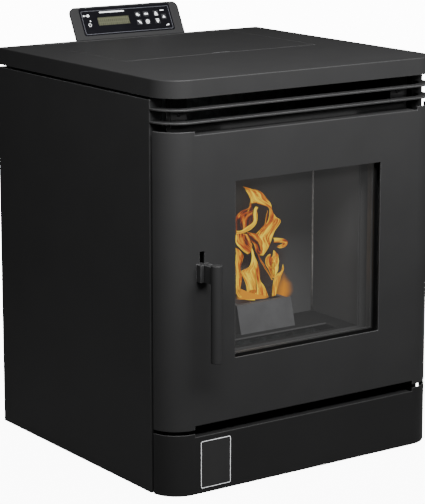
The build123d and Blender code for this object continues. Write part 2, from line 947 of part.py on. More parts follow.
with BuildPart() as burn_pot:
    rim_top = housing_top + pot_wall
    pot_block(pot_rim_side, pot_rim_front, (housing_top, rim_top))
    pot_block(0, 0, (pot_low, housing_top))
    pot_block(-pot_wall, -pot_wall, (pot_low + pot_wall, rim_top), mode=Mode.SUBTRACT)
    with BuildSketch(Plane.XY.offset(pot_low)):
        with Locations((0, pot_y)):
            with GridLocations(pot_floor_pitch, pot_floor_pitch, 8, 3):
                Circle(pot_hole_radius)
    extrude(amount=pot_wall, mode=Mode.SUBTRACT)
    with BuildSketch(upright(pot_y + pot_half_depth)):
        with Locations((0, housing_top - pot_wall_holes_drop)):
            with GridLocations(pot_wall_pitch, 0, 7, 1):
                Circle(pot_hole_radius)
    extrude(amount=2 * pot_half_depth, mode=Mode.SUBTRACT)
finish(burn_pot, "burn_pot")

with BuildPart() as igniter:
    igniter_end = chamber_back + igniter_tail
    with BuildSketch(upright(igniter_end)):
        with Locations((igniter_x, intake_z)):
            Circle(igniter_radius)
    extrude(amount=igniter_end - pot_y - pot_half_depth)
    with BuildSketch(upright(firebox_rear + igniter_flange)):
        with Locations((igniter_x, intake_z)):
            Circle(igniter_flange_radius)
    extrude(amount=igniter_flange)
finish(igniter, "igniter")

with BuildPart() as ash_pan:
    pan_half = chamber_half_width - ash_pan_clearance
    pan_z = (ash_floor, ash_floor + ash_pan_height)
    pan_back = chamber_back - ash_pan_behind
    block((-pan_half, pan_half), (chamber_front, pan_back), pan_z)
    block(
        (-pan_half + pan_sheet, pan_half - pan_sheet),
        (chamber_front, pan_back - pan_sheet),
        (ash_floor + pan_sheet, pan_z[1]),
        mode=Mode.SUBTRACT,
    )
    front_half = pan_half + pan_front_lap
    front_z = (ash_floor - pan_front_below, flange_low - pan_front_gap)
    block((-front_half, front_half), (seal_face, frame_y), front_z)
    with BuildSketch(upright(seal_face)):
        with Locations((0, ash_floor + pan_grip_rise)):
            SlotOverall(pan_grip_width, pan_grip_height)
            grip_inner = pan_grip_height - 2 * pan_grip_wall
            SlotOverall(pan_grip_width - 2 * pan_grip_end_wall, grip_inner, mode=Mode.SUBTRACT)
    extrude(amount=pan_grip_out)
    grip_z = (ash_floor + pan_grip_rise - grip_inner / 2, ash_floor + pan_grip_rise + grip_inner / 2)
    grip_y = (seal_face - pan_grip_out, seal_face - pan_grip_out + 2 * pan_sheet)
    grip_web = (pan_grip_web_inset - pan_grip_width / 2, pan_grip_width / 2 - pan_grip_web_inset)
    block(grip_web, grip_y, grip_z)
finish(ash_pan, "ash_pan")

with BuildPart() as air_intake_pipe:
    with BuildSketch(upright(intake_end)):
        with Locations((0, intake_z)):
            Circle(intake_radius)
            Circle(intake_radius - intake_wall, mode=Mode.SUBTRACT)
    extrude(amount=intake_end - burner_back_y)
    rings = (
        (intake_radius + intake_flange, firebox_rear + flue_flange_sheet, flue_flange_sheet),
        (intake_radius + intake_bead, rear_y, bead_length),
    )
    for outer, start, length in rings:
        with BuildSketch(upright(start)):
            with Locations((0, intake_z)):
                Circle(outer)
                Circle(intake_radius - intake_wall, mode=Mode.SUBTRACT)
        extrude(amount=length)
finish(air_intake_pipe, "air_intake_pipe")

# ---------------------------------------------------------------- hopper, lid and its hinge

with BuildPart() as hopper_bin:
    middle_y = (hopper_front + hopper_back) / 2
    for grow, mode in ((hopper_sheet, Mode.ADD), (0.0, Mode.SUBTRACT)):
        block(
            (-hopper_half_width - grow, hopper_half_width + grow),
            (hopper_front - grow, hopper_back + grow),
            (hopper_straight_low, top_under),
            mode=mode,
        )
        with BuildSketch(Plane.XY.offset(hopper_straight_low)):
            with Locations((0, middle_y)):
                Rectangle(2 * (hopper_half_width + grow), hopper_back - hopper_front + 2 * grow)
        with BuildSketch(Plane.XY.offset(throat_top)):
            with Locations((0, throat_y)):
                Rectangle(2 * (throat_half + grow), 2 * (throat_half + grow))
        loft(mode=mode)
        block(
            (-throat_half - grow, throat_half + grow),
            (throat_y - throat_half - grow, throat_y + throat_half + grow),
            (throat_top - throat_length, throat_top),
            mode=mode,
        )
    flange_half_x = lid_half_width + hopper_flange_side
    flange_y_span = (lid_front - hopper_flange_front, lid_back - hopper_flange_rear)
    flange_z = (top_under - panel_sheet, top_under)
    block((-flange_half_x, flange_half_x), flange_y_span, flange_z)
    hopper_x = (-hopper_half_width, hopper_half_width)
    block(hopper_x, (hopper_front, hopper_back), flange_z, mode=Mode.SUBTRACT)
    notch_y = (lid_front - 2 * notch_room, lid_front + notch_depth)
    block((-notch_width / 2, notch_width / 2), notch_y, flange_z, mode=Mode.SUBTRACT)
    with Locations(auger_plane):
        Cylinder(
            auger_radius,
            auger_length + motor_length,
            align=(Align.CENTER, Align.CENTER, Align.MIN),
            mode=Mode.SUBTRACT,
        )
    below = hopper_bin.solids().sort_by(SortBy.VOLUME)[-1]
hopper_bin.part = Part() + below
finish(hopper_bin, "hopper_bin")

with BuildPart() as hopper_seal:
    with BuildSketch(Plane.XY.offset(top_under)):
        with Locations((0, middle_y)):
            inner_x = hopper_half_width + seal_inner
            inner_y = (hopper_back - hopper_front) / 2 + seal_front_inner
            Rectangle(2 * (inner_x + seal_width), 2 * (inner_y + seal_width))
            Rectangle(2 * inner_x, 2 * inner_y, mode=Mode.SUBTRACT)
    extrude(amount=top_sheet - lid_sheet - seal_squeeze)
finish(hopper_seal, "hopper_seal")

fixed_knuckles = (
    (-lid_hinge_half, -lid_knuckle_out - knuckle_gap),
    (-lid_knuckle_in + knuckle_gap, lid_knuckle_in - knuckle_gap),
    (lid_knuckle_out + knuckle_gap, lid_hinge_half),
)
moving_knuckles = ((-lid_knuckle_out, -lid_knuckle_in), (lid_knuckle_in, lid_knuckle_out))


def barrel(span, radius):
    """Round bar on the lid's hinge line, over a span of x."""
    with BuildPart() as bar:
        with BuildSketch(Plane.YZ.offset(span[0])):
            with Locations((lid_axis_y, lid_axis_z)):
                Circle(radius)
        extrude(amount=span[1] - span[0])
    return bar.part


with BuildPart() as hopper_lid:
    lid_under = top_z - lid_sheet
    with BuildSketch(Plane.XY.offset(lid_under)):
        with Locations((0, (lid_front + lid_back) / 2)):
            RectangleRounded(2 * lid_half_width, lid_back - lid_front, lid_corner)
        with Locations((0, lid_front)):
            SlotOverall(notch_width, 2 * notch_depth, mode=Mode.SUBTRACT)
    extrude(amount=lid_sheet)
    with BuildSketch(Plane.XY.offset(lid_under - lid_skirt_depth)):
        with Locations((0, middle_y)):
            skirt_x = 2 * (hopper_half_width - lid_skirt_gap)
            skirt_y = hopper_back - hopper_front - 2 * lid_skirt_gap
            Rectangle(skirt_x, skirt_y)
            Rectangle(
                skirt_x - 2 * lid_skirt_sheet, skirt_y - 2 * lid_skirt_sheet, mode=Mode.SUBTRACT
            )
    extrude(amount=lid_skirt_depth)
    for span in moving_knuckles:
        add(barrel(span, lid_barrel_radius))
        block(span, (lid_back - lid_barrel_radius, lid_axis_y), (lid_under, top_z))
    for span in moving_knuckles:
        add(barrel(span, lid_pin_radius + running_clearance), mode=Mode.SUBTRACT)
finish(hopper_lid, "hopper_lid")

with BuildPart() as lid_hinge_leaf:
    leaf_z = (top_under - lid_leaf, top_under)
    leaf_front = lid_axis_y + lid_barrel_radius + lid_leaf_gap
    block((-lid_hinge_half, lid_hinge_half), (leaf_front, leaf_front + lid_leaf_width), leaf_z)
    for span in fixed_knuckles:
        add(barrel(span, lid_barrel_radius))
        block(span, (lid_axis_y, leaf_front), leaf_z)
    for span in fixed_knuckles:
        add(barrel(span, lid_pin_radius + running_clearance), mode=Mode.SUBTRACT)
finish(lid_hinge_leaf, "lid_hinge_leaf")

with BuildPart() as lid_hinge_pin:
    add(barrel((-lid_hinge_half, lid_hinge_half), lid_pin_radius))
finish(lid_hinge_pin, "lid_hinge_pin")

# ---------------------------------------------------------------- auger and pellet chute

from_end = (Align.CENTER, Align.CENTER, Align.MIN)
with BuildPart(auger_plane) as auger_tube:
    Cylinder(auger_radius, auger_length, align=from_end)
    with Locations((0, 0, auger_wall)):
        Cylinder(
            auger_radius - auger_wall,
            auger_length - 2 * auger_wall,
            align=from_end,
            mode=Mode.SUBTRACT,
        )
    Cylinder(screw_shaft_radius + running_clearance, auger_length, align=from_end, mode=Mode.SUBTRACT)
    inlet_middle = (
        (throat_y - throat_half - auger_top_y) / cos(slope) + auger_inlet_shift + auger_inlet_length / 2
    )
    cut_y = auger_radius / 2 + auger_cut_depth
    with Locations((0, -cut_y, inlet_middle)):
        Box(auger_inlet_width, auger_radius, auger_inlet_length, mode=Mode.SUBTRACT)
    with Locations((0, cut_y, auger_outlet_start + auger_outlet_length / 2)):
        Box(auger_outlet_width, auger_radius, auger_outlet_length, mode=Mode.SUBTRACT)
finish(auger_tube, "auger_tube")

flight_turns_length = screw_turns * screw_pitch
flight_middle = (screw_radius + screw_shaft_radius - flight_root) / 2
flight_path = Helix(screw_pitch, flight_turns_length, flight_middle)
flight_start = Plane(origin=flight_path @ 0, x_dir=(1, 0, 0), z_dir=flight_path % 0)
with BuildPart() as flight:
    with BuildSketch(flight_start):
        Rectangle(screw_radius - screw_shaft_radius + flight_root, flight_thickness)
    sweep(path=flight_path, is_frenet=True)
with BuildPart() as auger_screw:
    with Locations(auger_plane):
        Cylinder(screw_shaft_radius, auger_length + screw_shaft_past, align=from_end)
    add(auger_plane.offset(screw_start).location * flight.part)
finish(auger_screw, "auger_screw")

with BuildPart(auger_plane) as auger_gear_motor:
    with Locations((0, 0, auger_length)):
        Box(motor_side, motor_side, motor_length, align=from_end)
    motor_corners = auger_gear_motor.edges().filter_by(lambda e: abs(e.length - motor_length) < 0.01)
    fillet(motor_corners, motor_corner)
    with Locations((0, 0, auger_length)):
        Cylinder(
            screw_shaft_radius + running_clearance,
            screw_shaft_past + motor_bore_past,
            align=from_end,
            mode=Mode.SUBTRACT,
        )
finish(auger_gear_motor, "auger_gear_motor")


with BuildPart() as pellet_chute:
    extrude(chute_profile(0, 0), amount=2 * chute_half_width)
    extrude(chute_profile(chute_sheet, chute_mouth_cut), amount=chute_bore, mode=Mode.SUBTRACT)
    with Locations(auger_plane):
        Cylinder(auger_radius, auger_length, align=from_end, mode=Mode.SUBTRACT)
    under_tube = pellet_chute.solids().sort_by(SortBy.VOLUME)[-1]
pellet_chute.part = Part() + under_tube
finish(pellet_chute, "pellet_chute")

# ---------------------------------------------------------------- exhaust side

with BuildPart() as smoke_duct:
    duct_back = chamber_back - smoke_duct_behind
    duct_y = (duct_back - smoke_duct_depth, duct_back)
    low_z = (fan_z - smoke_duct_foot / 2, fan_z + smoke_duct_foot / 2)
    for wall, mode in ((0.0, Mode.ADD), (smoke_duct_sheet, Mode.SUBTRACT)):
        inside_x = (duct_left + wall, duct_right - wall)
        inside_z = (low_z[0] + wall, chamber_top - wall)
        block(inside_x, (duct_y[0] + wall, duct_y[1] - wall), inside_z, mode=mode)
        block(
            inside_x,
            (duct_y[0] + wall, smoke_duct_back - wall),
            (low_z[0] + wall, low_z[1] - wall),
            mode=mode,
        )
    block((duct_left, duct_left + smoke_duct_sheet), smoke_y, smoke_z, mode=Mode.SUBTRACT)
    with BuildSketch(Plane.YZ.offset(duct_left)):
        with Locations((fan_y, fan_z)):
            Circle(fan_eye_radius)
    extrude(amount=smoke_duct_sheet, mode=Mode.SUBTRACT)
finish(smoke_duct, "smoke_duct")

with BuildPart() as exhaust_fan_housing:
    for wall, mode in ((0.0, Mode.ADD), (fan_sheet, Mode.SUBTRACT)):
        with BuildSketch(Plane.YZ.offset(fan_left + wall)):
            with Locations((fan_y, fan_z)):
                Circle(fan_radius - wall)
            with Locations(((fan_y + fan_outlet_y - wall) / 2, flue_z)):
                Rectangle(fan_outlet_reach - wall, fan_outlet_height - 2 * wall)
        extrude(amount=fan_width - 2 * wall, mode=mode)
    foot_x = (flue_x - fan_foot_width / 2, flue_x + fan_foot_width / 2)
    foot_low = bottom_z + panel_sheet
    for foot_y in (fan_y - fan_foot_spread, fan_y + fan_foot_spread):
        leg_y = (foot_y - fan_foot_sheet / 2, foot_y + fan_foot_sheet / 2)
        block(foot_x, leg_y, (foot_low, fan_z - fan_radius + fan_foot_joint))
        block(foot_x, (leg_y[0], leg_y[1] + fan_foot_length), (foot_low, foot_low + fan_foot_sheet))
    with BuildSketch(Plane.YZ.offset(fan_right - fan_sheet)):
        with Locations((fan_y, fan_z)):
            Circle(fan_eye_radius)
    extrude(amount=fan_sheet, mode=Mode.SUBTRACT)
    with BuildSketch(Plane.YZ.offset(fan_left)):
        with Locations((fan_y, fan_z)):
            Circle(fan_shaft_hole)
    extrude(amount=fan_sheet, mode=Mode.SUBTRACT)
    with BuildSketch(upright(fan_outlet_y)):
        with Locations((flue_x, flue_z)):
            Circle(flue_radius - flue_wall)
    extrude(amount=fan_sheet, mode=Mode.SUBTRACT)
finish(exhaust_fan_housing, "exhaust_fan_housing")

with BuildPart() as exhaust_fan_impeller:
    back_x = fan_left + impeller_gap
    with BuildSketch(Plane.YZ.offset(back_x)):
        with Locations((fan_y, fan_z)):
            Circle(impeller_radius)
    extrude(amount=impeller_disc)
    with BuildSketch(Plane.YZ.offset(back_x)):
        with Locations((fan_y, fan_z)):
            Circle(impeller_hub_radius)
    extrude(amount=impeller_depth - impeller_hub_short)
    with BuildSketch(Plane.YZ.offset(back_x)):
        with Locations((fan_y, fan_z)):
            with PolarLocations(impeller_radius - blade_inset - blade_length / 2, impeller_blades):
                Rectangle(blade_length, blade_sheet, rotation=blade_turn)
    extrude(amount=impeller_depth)
    with BuildSketch(Plane.YZ.offset(fan_left - fan_shaft_behind)):
        with Locations((fan_y, fan_z)):
            Circle(fan_shaft_radius)
    extrude(amount=fan_shaft_behind + impeller_gap + impeller_disc)
finish(exhaust_fan_impeller, "exhaust_fan_impeller")

with BuildPart() as exhaust_fan_motor:
    with BuildSketch(Plane.YZ.offset(fan_left - fan_motor_length)):
        with Locations((fan_y, fan_z)):
            Circle(fan_motor_radius)
    extrude(amount=fan_motor_length)
    with BuildSketch(Plane.YZ.offset(fan_left - fan_motor_flange_sheet)):
        with Locations((fan_y, fan_z)):
            Circle(fan_motor_radius + fan_motor_flange)
    extrude(amount=fan_motor_flange_sheet)
    with BuildSketch(Plane.YZ.offset(fan_left - fan_shaft_bore)):
        with Locations((fan_y, fan_z)):
            Circle(fan_shaft_radius + running_clearance)
    extrude(amount=fan_shaft_bore, mode=Mode.SUBTRACT)
finish(exhaust_fan_motor, "exhaust_fan_motor")

with BuildPart() as flue_spigot:
    rings = (
        (flue_radius, flue_end, flue_end - fan_outlet_y),
        (flue_radius + flue_flange, fan_outlet_y + flue_flange_sheet, flue_flange_sheet),
        (flue_radius + flue_bead, rear_y, bead_length),
    )
    for outer, start, length in rings:
        with BuildSketch(upright(start)):
            with Locations((flue_x, flue_z)):
                Circle(outer)
                Circle(flue_radius - flue_wall, mode=Mode.SUBTRACT)
        extrude(amount=length)
finish(flue_spigot, "flue_spigot")

# ---------------------------------------------------------------- room-air fan

room_box_y = (room_fan_y - room_fan_box / 2, room_fan_y + room_fan_box / 2)
room_box_z = (room_fan_z - room_fan_box / 2, room_fan_z + room_fan_box / 2)
with BuildPart() as room_fan_housing:
    block((room_fan_left, room_fan_right), room_box_y, room_box_z)
    block(
        (room_fan_left + room_fan_sheet, room_fan_right - room_fan_sheet),
        (room_box_y[0] + room_fan_sheet, room_box_y[1] - room_fan_sheet),
        (room_box_z[0] + room_fan_sheet, room_box_z[1] - room_fan_sheet),
        mode=Mode.SUBTRACT,
    )
    block(
        (room_fan_left + room_fan_margin, room_fan_right - room_fan_margin),
        (room_box_y[1] - room_fan_sheet, room_box_y[1]),
        (room_box_z[0] + room_fan_inlet_edge, room_box_z[1] - room_fan_inlet_edge),
        mode=Mode.SUBTRACT,
    )
    block(
        (room_fan_left + room_fan_margin, room_fan_right - room_fan_margin),
        (room_box_y[0] + room_fan_margin, room_box_y[0] + room_fan_margin + room_fan_outlet_depth),
        (room_box_z[1] - room_fan_sheet, room_box_z[1]),
        mode=Mode.SUBTRACT,
    )
    with BuildSketch(Plane.YZ.offset(room_fan_left)):
        with Locations((room_fan_y, room_fan_z)):
            Circle(fan_shaft_radius + running_clearance)
    extrude(amount=room_fan_right - room_fan_left, mode=Mode.SUBTRACT)
finish(room_fan_housing, "room_fan_housing")

with BuildPart() as room_fan_drum:
    drum_x = (room_fan_left + drum_end_gap, room_fan_right - drum_end_gap)
    with BuildSketch(Plane.YZ.offset(drum_x[0])):
        with Locations((room_fan_y, room_fan_z)):
            with PolarLocations(drum_radius - vane_inset - vane_length / 2, drum_blades):
                Rectangle(vane_length, vane_sheet, rotation=vane_turn)
    extrude(amount=drum_x[1] - drum_x[0])
    for disc in (drum_x[0], (drum_x[0] + drum_x[1]) / 2, drum_x[1] - drum_disc):
        with BuildSketch(Plane.YZ.offset(disc)):
            with Locations((room_fan_y, room_fan_z)):
                Circle(drum_radius)
        extrude(amount=drum_disc)
    with BuildSketch(Plane.YZ.offset(room_fan_left)):
        with Locations((room_fan_y, room_fan_z)):
            Circle(fan_shaft_radius)
    extrude(amount=room_fan_right - room_fan_left + room_shaft_past)
finish(room_fan_drum, "room_fan_drum")

with BuildPart() as room_fan_motor:
    with BuildSketch(Plane.YZ.offset(room_fan_right)):
        with Locations((room_fan_y, room_fan_z)):
            Circle(room_motor_radius)
    extrude(amount=room_motor_length)
    with BuildSketch(Plane.YZ.offset(room_fan_right)):
        with Locations((room_fan_y, room_fan_z)):
            Circle(fan_shaft_radius + running_clearance)
    extrude(amount=room_shaft_bore, mode=Mode.SUBTRACT)
finish(room_fan_motor, "room_fan_motor")

# ---------------------------------------------------------------- power inlet

with BuildPart() as power_inlet:
    body_z = (inlet_z - inlet_below, inlet_z + inlet_above)
    body_x = (inlet_x - inlet_half_width, inlet_x + inlet_half_width)
    block(body_x, (rear_y - inlet_depth, rear_panel_y), body_z)
    lip_x = (body_x[0] - inlet_lip, body_x[1] + inlet_lip)
    lip_z = (body_z[0] - inlet_lip_below, body_z[1] + inlet_lip_above)
    inlet_face = rear_y + inlet_lip_out
    block(lip_x, (rear_panel_y, inlet_face), lip_z)
    socket_x = (inlet_x - socket_half_width, inlet_x + socket_half_width)
    socket_z = inlet_z - socket_drop
    socket_span = (socket_z - socket_half_height, socket_z + socket_half_height)
    socket_back = rear_y - socket_depth
    block(socket_x, (socket_back, inlet_face), socket_span, mode=Mode.SUBTRACT)
    for pin_x, pin_z in socket_pins:
        pin_mid = (inlet_x + pin_x, (socket_back + rear_y - socket_pin_short) / 2, socket_z + pin_z)
        with Locations(pin_mid):
            Box(socket_pin, socket_depth - socket_pin_short, socket_pin_height)
    well_half = rocker_width / 2 + rocker_side_gap
    well_half_z = rocker_half + rocker_end_gap
    block(
        (inlet_x - well_half, inlet_x + well_half),
        (rear_y - rocker_well, inlet_face),
        (rocker_z - well_half_z, rocker_z + well_half_z),
        mode=Mode.SUBTRACT,
    )
    with BuildSketch(Plane.YZ.offset(inlet_x - rocker_width / 2 - rocker_pin_hole)):
        with Locations((rear_y - rocker_axis_in, rocker_z)):
            Circle(rocker_pin_radius + running_clearance)
    extrude(amount=rocker_width + 2 * rocker_pin_hole, mode=Mode.SUBTRACT)
finish(power_inlet, "power_inlet")

with BuildPart() as mains_rocker:
    with BuildSketch(Plane.YZ.offset(inlet_x)):
        with Locations(Location((rear_y - rocker_axis_in, rocker_z), -rocker_swing / 2)):
            Polygon(
                (-rocker_root_in, -rocker_root_half),
                (-rocker_root_in, rocker_root_half),
                (rocker_tip_out, rocker_half),
                (rocker_dip_out, 0),
                (rocker_tip_out, -rocker_half),
                align=None,
            )
    extrude(amount=rocker_width / 2, both=True)
    with BuildSketch(Plane.YZ.offset(inlet_x)):
        with Locations((rear_y - rocker_axis_in, rocker_z)):
            Circle(rocker_pin_radius)
    extrude(amount=rocker_width / 2 + rocker_pin_length, both=True)
finish(mains_rocker, "mains_rocker")

# ---------------------------------------------------------------- control panel


def leaning_slab(width, thickness, corner, inset):
    """Slab on the control panel's plane with rounded upper corners, drawn in by inset."""
    with BuildPart() as slab:
        with BuildSketch(panel_plane.offset(-inset)):
            with Locations((0, (panel_rise - case_tail) / 2)):
                Rectangle(width - 2 * inset, panel_rise + case_tail - 2 * inset)
        extrude(amount=-(thickness - 2 * inset))
        upper = slab.edges().filter_by(lambda e: abs(e.length - thickness + 2 * inset) < 0.01)
        fillet(upper.group_by(Axis.Z)[-1], corner - inset)
    return slab.part


def leaning_case(inset):
    """Solid of the control panel's case, drawn in by inset, standing behind the top plate."""
    with BuildPart() as case:
        add(leaning_slab(case_width, panel_thickness, case_corner, inset))
        bracket_x = (inset - case_bracket_half, case_bracket_half - inset)
        bracket_z = (rim_low - case_bracket_depth + inset, top_z - case_bracket_drop)
        block(bracket_x, (rear_y, rear_y + case_bracket_depth - inset), bracket_z)
        block((-side_x, side_x), (rear_y - panel_rise, rear_y + inset), around_panel, mode=Mode.SUBTRACT)
    return case.part


around_panel = (rim_low - panel_rise, top_z + panel_rise)
with BuildPart() as display_housing:
    add(leaning_slab(panel_width, panel_plate, panel_corner, 0))
    block((-side_x, side_x), (rear_y - panel_rise, rear_y), around_panel, mode=Mode.SUBTRACT)
    add(leaning_case(0))
    add(leaning_case(panel_sheet), mode=Mode.SUBTRACT)
    with BuildSketch(panel_plane):
        with Locations((0, fascia_low + fascia_height / 2)):
            RectangleRounded(fascia_width, fascia_height, fascia_corner)
    extrude(amount=-panel_sheet, mode=Mode.SUBTRACT)
finish(display_housing, "display_housing")

with BuildPart() as display_fascia:
    fascia_middle = (0, fascia_low + fascia_height / 2)
    with BuildSketch(panel_plane.offset(-2 * panel_sheet)):
        with Locations(fascia_middle):
            tongue_width = fascia_width + 2 * fascia_tongue_side
            tongue_height = fascia_height + 2 * fascia_tongue_end
            RectangleRounded(tongue_width, tongue_height, fascia_corner)
    extrude(amount=panel_sheet)
    with BuildSketch(panel_plane.offset(-panel_sheet)):
        with Locations(fascia_middle):
            RectangleRounded(
                fascia_width - 2 * fascia_play,
                fascia_height - 2 * fascia_play,
                fascia_corner - fascia_play,
            )
    extrude(amount=panel_sheet + fascia_proud)
    with BuildSketch(panel_plane.offset(fascia_proud)):
        with Locations((screen_x, screen_y)):
            Rectangle(screen_width, screen_height)
        with Locations(*keys.values()):
            RectangleRounded(key_width + 2 * key_gap, key_height + 2 * key_gap, key_corner + key_gap)
    extrude(amount=-2 * panel_sheet - fascia_proud, mode=Mode.SUBTRACT)
finish(display_fascia, "display_fascia")

board_face = -2 * panel_sheet - board_behind - key_travel
with BuildPart() as lcd_module:
    with BuildSketch(panel_plane.offset(board_face)):
        with Locations(fascia_middle):
            Rectangle(fascia_width - 2 * board_margin, fascia_height - 2 * board_end_margin)
    extrude(amount=-board_sheet)
    with BuildSketch(panel_plane.offset(board_face)):
        with Locations((screen_x, screen_y)):
            Rectangle(screen_width + 2 * module_margin, screen_height + 2 * module_end_margin)
    extrude(amount=-board_face - 2 * panel_sheet)
    with BuildSketch(panel_plane.offset(board_face)):
        with Locations((screen_x, screen_y)):
            Rectangle(screen_width - 2 * screen_play, screen_height - 2 * screen_play)
    extrude(amount=-board_face - screen_sunk)
finish(lcd_module, "lcd_module")

for name, place in keys.items():
    with BuildPart() as key:
        with BuildSketch(panel_plane.offset(-2 * panel_sheet)):
            with Locations(place):
                RectangleRounded(key_width, key_height, key_corner)
        extrude(amount=2 * panel_sheet + fascia_proud)
        with BuildSketch(panel_plane.offset(-2 * panel_sheet - key_flange_sheet)):
            with Locations(place):
                flanged = (key_width + 2 * key_flange, key_height + 2 * key_flange)
                RectangleRounded(*flanged, key_corner)
        extrude(amount=key_flange_sheet)
        stem_end = -2 * panel_sheet - key_flange_sheet - key_stem_length
        with BuildSketch(panel_plane.offset(stem_end)):
            with Locations(place):
                Circle(key_stem_radius)
        extrude(amount=key_stem_length)
    finish(key, name)

# ---------------------------------------------------------------- fire door

with BuildPart() as door_skin:
    add(folded_skin(door_bottom, door_top, door_sheet, 1, 1, fold_flange))
    with BuildSketch(upright(front_y + door_sheet)):
        with Locations((0, window_z)):
            RectangleRounded(window_width, window_height, window_corner)
        slot_low = lever_pivot_z - lever_half_height - slot_below
        with Locations((handle_x, (slot_low + slot_top) / 2)):
            RectangleRounded(slot_width, slot_top - slot_low, slot_corner)
    extrude(amount=door_sheet, mode=Mode.SUBTRACT)
    cheek_z = (lever_pivot_z - lever_half_height, lever_pivot_z + lever_half_height)
    for side in (-1, 1):
        cheek_in = handle_x + side * slot_width / 2
        cheek = sorted((cheek_in, cheek_in + side * cheek_width))
        block(cheek, (front_y - cheek_depth, front_y + door_sheet), cheek_z)
finish(door_skin, "door_skin")

groove_front = glass_front - glass_play
groove_back = glass_front + glass_thickness + glass_play
groove_outer = glass_lap + glass_edge_gap
channel_outer = groove_outer + channel_wall
with BuildPart() as door_inner_frame:
    add(window_ring(box_front, box_back, box_margin - panel_sheet, box_margin))
    add(window_ring(box_back - panel_sheet, box_back, groove_outer, box_margin))
    add(window_ring(groove_front - channel_wall, box_back, groove_outer, channel_outer))
    add(window_ring(groove_front - channel_wall, groove_front, -glass_lip, channel_outer))
    add(window_ring(groove_back, groove_back + channel_wall, -glass_lip, channel_outer))
finish(door_inner_frame, "door_inner_frame")

with BuildPart() as door_glass:
    with BuildSketch(upright(glass_front + glass_thickness)):
        with Locations((0, window_z)):
            Rectangle(window_width + 2 * glass_lap, window_height + 2 * glass_lap)
    extrude(amount=glass_thickness)
finish(door_glass, "door_glass")

with BuildPart() as door_rope_seal:
    add(window_ring(box_back, seal_face - seal_clearance, rope_margin, rope_margin + rope_width))
    rope_edges = door_rope_seal.faces().sort_by(Axis.Y)[-1].edges()
    fillet(rope_edges, rope_round)
finish(door_rope_seal, "door_rope_seal")

with BuildPart() as door_hinge_brackets:
    for level in hinge_levels:
        arm_y = (hinge_y - hinge_boss_radius, hinge_y + hinge_boss_radius)
        arm_x = hinge_x - hinge_arm_reach
        block((arm_x, arm_x + hinge_arm_width), (arm_y[0], frame_y), (level, level + hinge_plate))
        block((arm_x, hinge_x), arm_y, (level, level + hinge_plate))
        with BuildSketch(Plane.XY.offset(level)):
            with Locations((hinge_x, hinge_y)):
                Circle(hinge_boss_radius)
        extrude(amount=hinge_plate)
        with BuildSketch(Plane.XY.offset(level)):
            with Locations((hinge_x, hinge_y)):
                Circle(hinge_pin_radius)
        extrude(amount=hinge_plate + hinge_pin_rise)
finish(door_hinge_brackets, "door_hinge_brackets")

with BuildPart() as door_hinge_eyes:
    for level in hinge_levels:
        with BuildSketch(Plane.XY.offset(level + hinge_plate)):
            add(plan_outline(door_sheet))
            with Locations((side_x - eye_width / 2, hinge_y - eye_forward)):
                Rectangle(eye_width, eye_depth, mode=Mode.INTERSECT)
            with Locations((hinge_x, hinge_y)):
                Circle(hinge_pin_radius + running_clearance, mode=Mode.SUBTRACT)
        extrude(amount=hinge_plate)
finish(door_hinge_eyes, "door_hinge_eyes")

# ---------------------------------------------------------------- handle and latch

lever_x_half = lever_thickness / 2
with BuildPart() as handle_bracket:
    base_y = (front_y + door_sheet, front_y + door_sheet + bracket_sheet)
    base_z = (slot_low - bracket_margin, slot_top + bracket_margin)
    block((handle_x - bracket_half_width, handle_x + bracket_half_width), base_y, base_z)
    slot_half = slot_width / 2 + bracket_slot_gap
    slot_z = (slot_low - 2 * bracket_slot_gap, slot_top + 2 * bracket_slot_gap)
    block((handle_x - slot_half, handle_x + slot_half), base_y, slot_z, mode=Mode.SUBTRACT)
    ear_z = (lever_pivot_z - bracket_ear_half_height, lever_pivot_z + bracket_ear_half_height)
    for side in (-1, 1):
        ear = sorted((handle_x + side * (lever_x_half + lever_play), handle_x + side * bracket_ear_half))
        block(ear, (base_y[1], pivot_y + bracket_ear_past), ear_z)
        root = sorted((handle_x + side * slot_half, handle_x + side * bracket_ear_half))
        block(root, (base_y[0], base_y[1] + bracket_root_lap), ear_z)
    with BuildSketch(Plane.YZ.offset(handle_x)):
        with Locations((pivot_y, lever_pivot_z)):
            Circle(lever_pin_radius)
    extrude(amount=bracket_ear_half, both=True)
finish(handle_bracket, "handle_bracket")

lever_x = (handle_x - lever_x_half, handle_x + lever_x_half)
lever_z = (lever_pivot_z - lever_half_height, lever_pivot_z + lever_half_height)
with BuildPart() as handle_lever:
    block(lever_x, (handle_y, pivot_y + lever_pivot_wall), lever_z)
    block(lever_x, (pivot_y, pivot_y + latch_reach), (lever_z[0], lever_z[0] + latch_thickness))
    with BuildSketch(Plane.YZ.offset(lever_x[0])):
        with Locations((pivot_y, lever_pivot_z)):
            Circle(lever_pin_radius + running_clearance)
    extrude(amount=lever_thickness, mode=Mode.SUBTRACT)
finish(handle_lever, "handle_lever")

with BuildPart() as handle_rod:
    with BuildSketch(Plane.XY.offset(handle_top - handle_length)):
        with Locations((handle_x, handle_y)):
            Circle(handle_radius)
    extrude(amount=handle_length)
    fillet(handle_rod.edges().filter_by(GeomType.CIRCLE), handle_round)
    block(lever_x, (handle_y, handle_y + 2 * handle_radius), lever_z, mode=Mode.SUBTRACT)
finish(handle_rod, "handle_rod")

